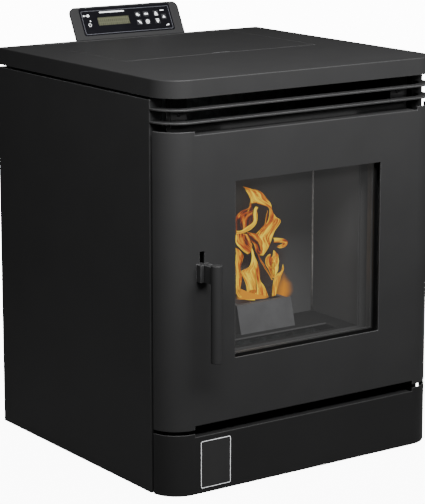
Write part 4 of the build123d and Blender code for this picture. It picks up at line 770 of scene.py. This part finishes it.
class STOVE_OT_rope_seal(bpy.types.Operator):
    """Lays the knitted rope seal round the back of the door"""

    bl_idname = "stove.rope_seal"
    bl_label = "Rope seal"

    def execute(self, context):
        low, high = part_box("door_rope_seal")
        middle = (low + high) / 2
        width = 12 * MM
        deep = high.y - low.y
        half_x = (high.x - low.x - width) / 2
        half_z = (high.z - low.z - width) / 2
        corner, ring_gap = 7 * MM, 1.5 * MM
        far_x, far_z = half_x - corner, half_z - corner
        bm = bmesh.new()
        centre = Vector((middle.x, middle.y, middle.z + half_z))
        turn = Matrix.Translation(centre) @ Matrix.Rotation(math.pi / 2, 4, "Y")
        made = bmesh.ops.create_circle(bm, segments=20, radius=0.5, matrix=turn)
        for vert in made["verts"]:
            y, z = (vert.co.y - centre.y) * deep, (vert.co.z - centre.z) * width
            vert.co = centre + Vector((0, y, z))
        edges = list(bm.edges)
        # Straights are moves along the door, and corners are where the rope turns about.
        runs = (
            ("straight", (far_x, 0, 0)),
            ("corner", (far_x, 0, far_z)),
            ("straight", (0, 0, -2 * far_z)),
            ("corner", (far_x, 0, -far_z)),
            ("straight", (-2 * far_x, 0, 0)),
            ("corner", (-far_x, 0, -far_z)),
            ("straight", (0, 0, 2 * far_z)),
            ("corner", (-far_x, 0, far_z)),
            ("straight", (far_x, 0, 0)),
        )
        for kind, run in runs:
            run = Vector(run)
            if kind == "straight":
                rings = max(2, int(run.length / ring_gap))
                motion = {"cent": middle, "dvec": run / rings, "angle": 0, "steps": rings}
            else:
                motion = {"cent": middle + run, "angle": math.pi / 2, "steps": 8}
            spun = bmesh.ops.spin(bm, geom=edges, axis=(0, 1, 0), **motion)
            edges = [e for e in spun["geom_last"] if isinstance(e, bmesh.types.BMEdge)]
        bmesh.ops.remove_doubles(bm, verts=bm.verts, dist=0.1 * MM)
        bmesh.ops.recalc_face_normals(bm, faces=bm.faces)
        self.knit(bm, middle, half_x, half_z, deep, width)
        piece = make_piece("knitted_rope_seal", bm, plain_finish("rope"), "door")
        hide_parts("door_rope_seal")
        return {"FINISHED"}

    def knit(self, bm, middle, half_x, half_z, deep, width):
        """Presses the knit's stitches into the rope."""
        moves = []
        for vert in bm.verts:
            offset = vert.co - middle
            along_x = abs(offset.z) - half_z > abs(offset.x) - half_x
            run = offset.x if along_x else offset.z
            side = (abs(offset.z) - half_z) if along_x else (abs(offset.x) - half_x)
            bearing = math.atan2(offset.y / deep, side / width)
            phase = math.cos(bearing * strands) * stagger
            stitch = math.cos(run / stitch_length * 2 * math.pi + phase)
            moves.append((vert, vert.normal * (stitch_depth * (stitch - 1))))
        for vert, move in moves:
            vert.co += move


class STOVE_OT_corner_seam_highlights(bpy.types.Operator):
    """Lays the ground weld seams down the fire chamber's rear corners, their light colour a painted
    highlight along each corner
    """

    bl_idname = "stove.corner_seams"
    bl_label = "Corner seam highlights"

    def execute(self, context):
        low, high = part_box("firebox_liners")
        radius, side_liner, rear_liner = 1.7 * MM, 5 * MM, 8 * MM
        # The bead runs a fifth of its radius into both plates.
        off = 0.8 * radius
        corner = Vector((high.x - side_liner - off, high.y - rear_liner - off, 0))
        bm = bmesh.new()
        for side in (-1, 1):
            middle = Vector((side * corner.x, corner.y, (low.z + high.z) / 2))
            bmesh.ops.create_cone(
                bm,
                cap_ends=True,
                segments=16,
                radius1=radius,
                radius2=radius,
                depth=high.z - low.z - 1 * MM,
                matrix=Matrix.Translation(middle),
            )
        make_piece("corner_seams", bm, plain_finish("weld"), "cabinet")
        return {"FINISHED"}


def rounded_line(place, width, height, corner, line):
    """Bmesh of a flat line of even width along the inside of a rectangle with rounded corners."""
    size = Matrix.Diagonal((width, height, 1, 1))
    bm = bmesh.new()
    made = bmesh.ops.create_grid(bm, x_segments=1, y_segments=1, size=0.5, matrix=place @ size)
    bmesh.ops.bevel(
        bm,
        geom=made["verts"],
        affect="VERTICES",
        offset=corner,
        segments=6,
        profile=0.5,
        material=-1,
    )
    face = max(bm.faces, key=lambda f: f.calc_area())
    bmesh.ops.inset_region(bm, faces=[face], thickness=line, use_boundary=True)
    bmesh.ops.delete(bm, geom=[face], context="FACES_ONLY")
    return bm


class STOVE_OT_badge_line(bpy.types.Operator):
    """Draws the thin light line round the bare plate on the plinth"""

    bl_idname = "stove.badge_line"
    bl_label = "Badge line"

    def execute(self, context):
        low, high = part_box("badge_plate")
        inset = 0.6 * MM
        centre = Vector(((low.x + high.x) / 2, low.y - ink_lift, (low.z + high.z) / 2))
        bm = rounded_line(
            place=Matrix.Translation(centre) @ Matrix.Rotation(math.pi / 2, 4, "X"),
            width=high.x - low.x - 2 * inset,
            height=high.z - low.z - 2 * inset,
            corner=3.4 * MM,
            line=1.0 * MM,
        )
        ink = plain_finish("white_ink")
        make_piece("badge_line", bm, ink, "cabinet", smooth=False)
        return {"FINISHED"}


class STOVE_OT_panel_print(bpy.types.Operator):
    """Prints plain marks on the control panel and its keys"""

    bl_idname = "stove.panel_print"
    bl_label = "Panel print"

    def execute(self, context):
        ink = bpy.data.materials["Off-white screen print"]
        # Each mark: its shape and size, its x, its place up the slope, and its turn in degrees.
        fascia_marks = (
            (("bar", 57, 2.6), -31.5, 54.0, 0),
            (("bar", 3.0, 3.2), -96.0, 48.6, 0),
            (("disc", 2.8), -86.5, 48.6, 0),
            (("bar", 6.0, 2.4), -88.5, 48.4, 0),
            (("disc", 1.5), -84.0, 37.3, 0),
            (("ring", 3.4, 0.8), -87.0, 29.5, 0),
            (("bar", 9.0, 1.4), 84.5, 49.5, 0),
            (("disc", 1.6), 91.5, 19.0, 0),
            (("bar", 4.2, 1.2), 88.0, 18.0, 30),
        )
        bm = bmesh.new()
        for shape, x, s, turn in fascia_marks:
            print_mark(bm, shape, x, s, turn)
        make_piece("fascia_print", bm, ink, "cabinet", smooth=False)
        # The line round the fascia, 5.6 mm in: a painted reflection along its raised rim.
        low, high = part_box("display_fascia")
        inset = 5.6 * MM
        slope_low = (low.z - panel_origin.z) / panel_up.z
        slope_high = (high.z - panel_origin.z) / panel_up.z
        middle = on_panel(0, (slope_low + slope_high) / 2 / MM)
        bm = rounded_line(
            place=Matrix.Translation(middle) @ panel_turn,
            width=high.x - low.x - 2 * inset,
            height=slope_high - slope_low - 2 * inset,
            corner=2.5 * MM,
            line=0.8 * MM,
        )
        grey = plain_finish("reflection_line_grey")
        make_piece("fascia_reflection_line", bm, grey, "cabinet", smooth=False)
        key_marks = {
            "key_menu": ((("disc", 2.6), 25.4, 44.6, 0), (("bar", 5.5, 1.3), 28.6, 42.4, 35)),
            "key_timer": ((("triangle", 3.0), 44.0, 44.4, 90), (("bar", 4.2, 3.0), 48.4, 44.2, 0)),
            "key_fan": (
                (("bar", 7.5, 1.5), 25.4, 28.8, -52),
                (("bar", 7.5, 1.5), 28.4, 28.0, -52),
            ),
            "key_fuel": ((("ring", 4.2, 1.2), 45.5, 28.2, 0), (("disc", 1.7), 45.5, 28.2, 0)),
            "key_up": ((("triangle", 4.2), 69.0, 44.6, 0), (("bar", 7.4, 1.4), 69.0, 40.6, 0)),
            "key_down": ((("triangle", 4.2), 69.0, 27.6, 180), (("bar", 7.4, 1.4), 69.0, 31.8, 0)),
            "key_enter": ((("triangle", 3.8), 85.6, 35.6, 0),),
        }
        for key, marks in key_marks.items():
            bm = bmesh.new()
            for shape, x, s, turn in marks:
                print_mark(bm, shape, x, s, turn)
            make_piece(key + "_print", bm, ink, key + "_cap", smooth=False)
        return {"FINISHED"}


class STOVE_OT_pellets(bpy.types.Operator):
    """Heaps burning pellets in the burn pot"""

    bl_idname = "stove.pellets"
    bl_label = "Pellets"

    def execute(self, context):
        chance = random.Random(11)
        bm = bmesh.new()
        count = context.scene.stove_fire.pellets
        wall_gap, floor_gap = 19 * MM, 6 * MM
        floor = pot_low.z + floor_gap
        half_x = (pot_high.x - pot_low.x) / 2 - wall_gap
        mid_y = (pot_high.y + pot_low.y) / 2
        # Pellets 6 mm thick and 8 to 13 mm long, heaped higher in the middle. Sizes in mm.
        for number in range(count):
            x = chance.uniform(-half_x, half_x)
            y = mid_y + chance.uniform(-9, 9) * MM
            heap = 1 - 0.5 * (x / half_x) ** 2
            z = floor + (2 + 19 * number / count * heap) * MM
            length = chance.uniform(8, 13) * MM
            spin = Matrix.Rotation(chance.uniform(0, math.pi), 4, "Z")
            tip = Matrix.Rotation(math.pi / 2 + chance.uniform(-0.35, 0.35), 4, "X")
            bmesh.ops.create_cone(
                bm,
                cap_ends=True,
                segments=8,
                radius1=3 * MM,
                radius2=2.9 * MM,
                depth=length,
                matrix=Matrix.Translation((x, y, z)) @ spin @ tip,
            )
        make_piece("burning_pellets", bm, glowing_pellet(), "cabinet", smooth=False)
        return {"FINISHED"}


# Each lick of flame: its depth y, its heat from 0 to 1, the width over which its sides fade, and
# its left and right sides from foot to tip as (x, z). Sizes in mm.
licks = (
    (
        (-108, 0.02, 26),
        ((-27, 298), (-35, 348), (-35, 398), (-35, 442), (-23, 480), (-15, 503)),
        ((95, 280), (95, 321), (86, 372), (74, 428), (54, 458), (36, 490)),
    ),
    (
        (-112, 0.40, 3),
        ((-36, 416), (-36, 436), (-35, 449), (-24, 457), (-11, 461), (-4, 467)),
        ((-18, 417), (2, 428), (6, 439), (4, 447), (2, 456), (0, 463)),
    ),
    (
        (-113, 0.60, 1),
        ((-13, 445), (-10, 454), (-6, 464), (-4, 474), (-7, 483), (-16, 496)),
        ((-10, 444), (-6, 454), (-2, 463), (1, 473), (3, 480), (-2, 489)),
    ),
    (
        (-114, 0.58, 34),
        ((37, 288), (40, 298), (46, 312), (56, 322), (65, 333)),
        ((92, 281), (99, 292), (96, 307), (86, 319), (78, 332)),
    ),
    (
        (-122, 0.78, 1.2),
        (
            (10, 371), (13, 384), (5, 405), (13, 418), (26, 431), (32, 446),
            (29, 460), (6, 469), (-7, 478), (-12, 487), (-23, 502),
        ),
        (
            (19, 369), (32, 384), (40, 401), (45, 412), (59, 430), (48, 440),
            (39, 452), (36, 465), (28, 476), (18, 488), (0, 497),
        ),
    ),
    (
        (-119, 0.64, 1),
        ((-6, 470), (-8, 484), (-14, 495), (-22, 501), (-27, 504)),
        ((15, 471), (21, 482), (11, 490), (-6, 497), (-22, 503)),
    ),
    (
        (-124, 0.56, 1),
        ((-16, 378), (-26, 384), (-38, 395), (-44, 404), (-44, 415), (-43, 421)),
        ((-10, 381), (-7, 394), (-12, 404), (-17, 414), (-26, 418), (-38, 421)),
    ),
    (
        (-119, 0.60, 1.2),
        ((-40, 315), (-40, 337), (-40, 357), (-40, 374), (-40, 384), (-40, 393)),
        ((-31, 309), (-25, 335), (-28, 349), (-24, 365), (-23, 376), (-33, 389)),
    ),
    (
        (-128, 0.46, 1),
        ((7, 373), (-2, 382), (-8, 398), (-17, 409), (-25, 419), (-27, 421)),
        ((12, 384), (14, 392), (12, 402), (4, 412), (-2, 415), (-23, 421)),
    ),
    (
        (-131, 0.80, 1),
        ((-23, 301), (-25, 320), (-34, 342), (-36, 351), (-19, 356), (-14, 372), (-15, 392)),
        ((1, 299), (-2, 317), (-4, 338), (-6, 351), (-8, 365), (-7, 375), (-12, 392)),
    ),
    (
        (-129, 0.74, 1),
        ((1, 298), (0, 317), (-2, 334), (-4, 351), (-7, 364), (-10, 377), (-12, 387)),
        ((28, 292), (18, 314), (8, 327), (8, 341), (4, 356), (0, 367), (-10, 386)),
    ),
    (
        (-134, 0.50, 1.5),
        ((-23, 307), (-22, 311), (-19, 314)),
        ((-4, 306), (-5, 310), (-7, 313)),
    ),
    (
        (-130, 0.56, 0.9),
        ((34, 323), (23, 340), (12, 355), (4, 369), (-1, 378)),
        ((37, 323), (26, 341), (16, 356), (7, 370), (1, 379)),
    ),
    (
        (-124, 0.68, 1),
        ((38, 325), (32, 340), (24, 354), (22, 365), (28, 369), (32, 373)),
        ((45, 326), (47, 339), (43, 352), (40, 362), (37, 367), (35, 372)),
    ),
    (
        (-126, 0.78, 1),
        ((39, 325), (35, 341), (34, 355), (37, 364), (40, 370), (42, 379)),
        ((45, 330), (51, 339), (52, 351), (53, 362), (52, 369), (43, 378)),
    ),
    (
        (-129, 0.46, 2.5),
        ((37, 328), (29, 343), (28, 351), (32, 359)),
        ((41, 329), (43, 341), (43, 349), (39, 358)),
    ),
    (
        (-130, 0.86, 1),
        ((34, 293), (36, 312), (39, 325), (45, 334), (54, 340), (59, 352)),
        ((43, 293), (49, 310), (55, 324), (59, 336), (60, 344), (60, 351)),
    ),
    (
        (-128, 0.74, 1),
        ((37, 403), (50, 401), (62, 398), (71, 392), (71, 385), (64, 381), (52, 381), (44, 385)),
        ((38, 393), (50, 392), (55, 391), (60, 389), (58, 388), (56, 388), (53, 388), (46, 387)),
    ),
    (
        (-134, 0.94, 1),
        (
            (-51, 428), (-40, 427), (-27, 432), (-15, 437),
            (-12, 445), (-12, 455), (-10, 463), (-5, 468),
        ),
        ((-51, 422), (-38, 421), (-21, 424), (-9, 430), (-4, 440), (-2, 450), (-3, 459), (1, 465)),
    ),
    (
        (-133, 0.56, 1),
        ((-6, 416), (4, 423), (13, 431), (16, 440), (17, 450), (20, 458)),
        ((-3, 414), (8, 420), (17, 429), (20, 439), (21, 448), (22, 457)),
    ),
    (
        (-135, 0.89, 0.9),
        ((-24, 380), (-34, 387), (-45, 397), (-51, 405), (-52, 415), (-52, 421)),
        ((-23, 384), (-32, 390), (-42, 400), (-48, 407), (-49, 415), (-50, 421)),
    ),
    (
        (-137, 0.60, 14),
        ((-54, 301), (-54, 314), (-54, 326)),
        ((22, 293), (20, 297), (-19, 307)),
    ),
    (
        (-138, 0.94, 1.2),
        ((-10, 296), (-28, 301), (-43, 308), (-49, 318), (-48, 328)),
        ((-9, 293), (-30, 297), (-47, 304), (-54, 316), (-54, 329)),
    ),
)


class STOVE_OT_flame(bpy.types.Operator):
    """Raises the flame from the burn pot"""

    bl_idname = "stove.flame"
    bl_label = "Flame"

    def execute(self, context):
        bm = bmesh.new()
        maps = [bm.loops.layers.uv.new(name) for name in ("edge", "gas", "nature")]
        for number, (nature, left, right) in enumerate(licks):
            self.lick(bm, maps, number, nature, left, right)
        make_piece("flame", bm, burning_gas(context.scene.stove_fire), "cabinet")
        return {"FINISHED"}

    def lick(self, bm, maps, number, nature, left, right):
        """One curved leaf of flame between its two sides."""
        depth, heat, fade = nature
        made = bmesh.ops.create_grid(bm, x_segments=14, y_segments=44, size=0.5)
        left = [Vector(point) * MM for point in left]
        right = [Vector(point) * MM for point in right]
        length = sum((b - a).length for a, b in zip(left, left[1:]))
        share = {vert: (vert.co.x + 0.5, vert.co.y + 0.5) for vert in made["verts"]}
        place = {}
        # Its sides ripple by 1.5 mm at most. It bellies to the window and sways by 5 mm at most.
        for vert, (u, v) in share.items():
            one, other = self.along(left, v), self.along(right, v)
            spot = one.lerp(other, u)
            width = (other - one).length
            ripple = noise.noise(Vector((v * 7, number * 3.7, 0))) * 1.5 * MM
            ripple *= math.sin(math.pi * v)
            belly = math.sin(u * math.pi) * min(0.22 * width, 5 * MM)
            sway = noise.noise(Vector((v * 3, number * 1.9, 4))) * 5 * MM * v
            vert.co = Vector((spot.x + ripple, depth * MM - belly + sway, spot.y))
            place[vert] = (min(u, 1 - u) * width, v, u * width + number, v * length)
        for face in {face for vert in made["verts"] for face in vert.link_faces}:
            for loop in face.loops:
                edge, v, across, up = place[loop.vert]
                loop[maps[0]].uv = (edge, v)
                loop[maps[1]].uv = (across, up)
                loop[maps[2]].uv = (heat, fade * MM)

    def along(self, points, v):
        """Point at share v of a smooth line through the points."""
        spans = len(points) - 1
        at = min(v, 0.9999) * spans
        i = int(at)
        t = at - i
        before, start = points[max(i - 1, 0)], points[i]
        end, after = points[i + 1], points[min(i + 2, spans)]
        return 0.5 * (
            2 * start
            + (end - before) * t
            + (2 * before - 5 * start + 4 * end - after) * t * t
            + (3 * start - before - 3 * end + after) * t * t * t
        )


class STOVE_OT_studio(bpy.types.Operator):
    """Sets the pale floor, the soft lights and the camera"""

    bl_idname = "stove.studio"
    bl_label = "Studio"

    def execute(self, context):
        studio = context.scene.stove_studio
        bm = bmesh.new()
        bmesh.ops.create_grid(bm, x_segments=1, y_segments=1, size=2.6)
        mesh = bpy.data.meshes.new("studio_floor")
        bm.to_mesh(mesh)
        bm.free()
        mesh.materials.append(studio_paper())
        floor = bpy.data.objects.new("studio_floor", mesh)
        context.scene.collection.objects.link(floor)

        world = bpy.data.worlds.new("Studio")
        context.scene.world = world
        world.use_nodes = True
        tree = world.node_tree
        tree.nodes.clear()
        seen = add_node(tree, "ShaderNodeLightPath").outputs["Is Camera Ray"]
        white = screen_colour("#ffffff")
        room, sweep = (
            add_node(tree, "ShaderNodeBackground", (white, strength)).outputs["Background"]
            for strength in (studio.world, studio.backdrop)
        )
        choice = add_node(tree, "ShaderNodeMixShader", (seen, room, sweep)).outputs["Shader"]
        add_node(tree, "ShaderNodeOutputWorld", {"Surface": choice})

        # Each light: its name, its place, what it aims at, its width and height in metres, its
        # spread in degrees and its power in watts.
        lights = (
            ("Key", (-0.1, -1.15, 1.55), (0, -0.285, 0.7), (2.0, 0.5), 90, studio.key),
            ("Top", (0.3, 1.0, 2.3), (0, 0, 0.4), (1.2, 1.2), 180, studio.top),
            ("Fill", (-2.2, -0.5, 1.9), (-0.2, 0, 0.85), (1.4, 1.4), 60, studio.fill),
            ("Hearth", (0, -0.234, 0.51), (0, 0, 0.51), (0.3, 0.26), 180, studio.hearth),
            ("Back", (1.1, 2.2, 0.5), (0.1, 0.2, 0.45), (1.8, 0.4), 180, studio.back),
        )
        for name, place, aim, size, spread, power in lights:
            light = bpy.data.lights.new(name, "AREA")
            light.shape = "RECTANGLE"
            light.size, light.size_y = size
            light.spread = math.radians(spread)
            light.energy = power
            lamp = bpy.data.objects.new(name, light)
            lamp.location = place
            lamp.visible_camera = False
            turn = (Vector(aim) - Vector(place)).to_track_quat("-Z", "Y")
            lamp.rotation_euler = turn.to_euler()
            context.scene.collection.objects.link(lamp)

        camera = bpy.data.cameras.new("Camera")
        camera.lens = studio.lens
        camera.sensor_width = 36.0
        camera.shift_y = -0.1
        camera.clip_end = 60.0
        eye = bpy.data.objects.new("Camera", camera)
        eye.location = (-2.183, -3.104, 1.213)
        eye.rotation_euler = (math.radians(90 - 11.32), 0, math.radians(-35.02))
        context.scene.collection.objects.link(eye)
        context.scene.camera = eye
        return {"FINISHED"}


class STOVE_PT_panel(bpy.types.Panel):
    """Lists the stove's steps and settings"""

    bl_label = "Pellet stove"
    bl_idname = "STOVE_PT_panel"
    bl_space_type = "VIEW_3D"
    bl_region_type = "UI"
    bl_category = "Stove"

    def draw(self, context):
        layout = self.layout
        for group in ("stove_finish", "stove_fire", "stove_studio"):
            settings = getattr(context.scene, group)
            for name in settings.bl_rna.properties.keys():
                if name not in ("rna_type", "name"):
                    layout.prop(settings, name)
        for step in steps:
            layout.operator(step.bl_idname)


steps = (
    STOVE_OT_finishes,
    STOVE_OT_screws,
    STOVE_OT_rope_seal,
    STOVE_OT_corner_seam_highlights,
    STOVE_OT_badge_line,
    STOVE_OT_panel_print,
    STOVE_OT_pellets,
    STOVE_OT_flame,
    STOVE_OT_studio,
)
classes = (StoveFinish, StoveFire, StoveStudio, *steps, STOVE_PT_panel)


def register():
    for cls in classes:
        bpy.utils.register_class(cls)
    bpy.types.Scene.stove_finish = bpy.props.PointerProperty(type=StoveFinish)
    bpy.types.Scene.stove_fire = bpy.props.PointerProperty(type=StoveFire)
    bpy.types.Scene.stove_studio = bpy.props.PointerProperty(type=StoveStudio)


def unregister():
    del bpy.types.Scene.stove_studio
    del bpy.types.Scene.stove_fire
    del bpy.types.Scene.stove_finish
    for cls in reversed(classes):
        bpy.utils.unregister_class(cls)


def main():
    register()
    bpy.ops.stove.finishes()
    bpy.ops.stove.screws()
    bpy.ops.stove.rope_seal()
    bpy.ops.stove.corner_seams()
    bpy.ops.stove.badge_line()
    bpy.ops.stove.panel_print()
    bpy.ops.stove.pellets()
    bpy.ops.stove.flame()
    bpy.ops.stove.studio()


if __name__ == "__main__":
    main()
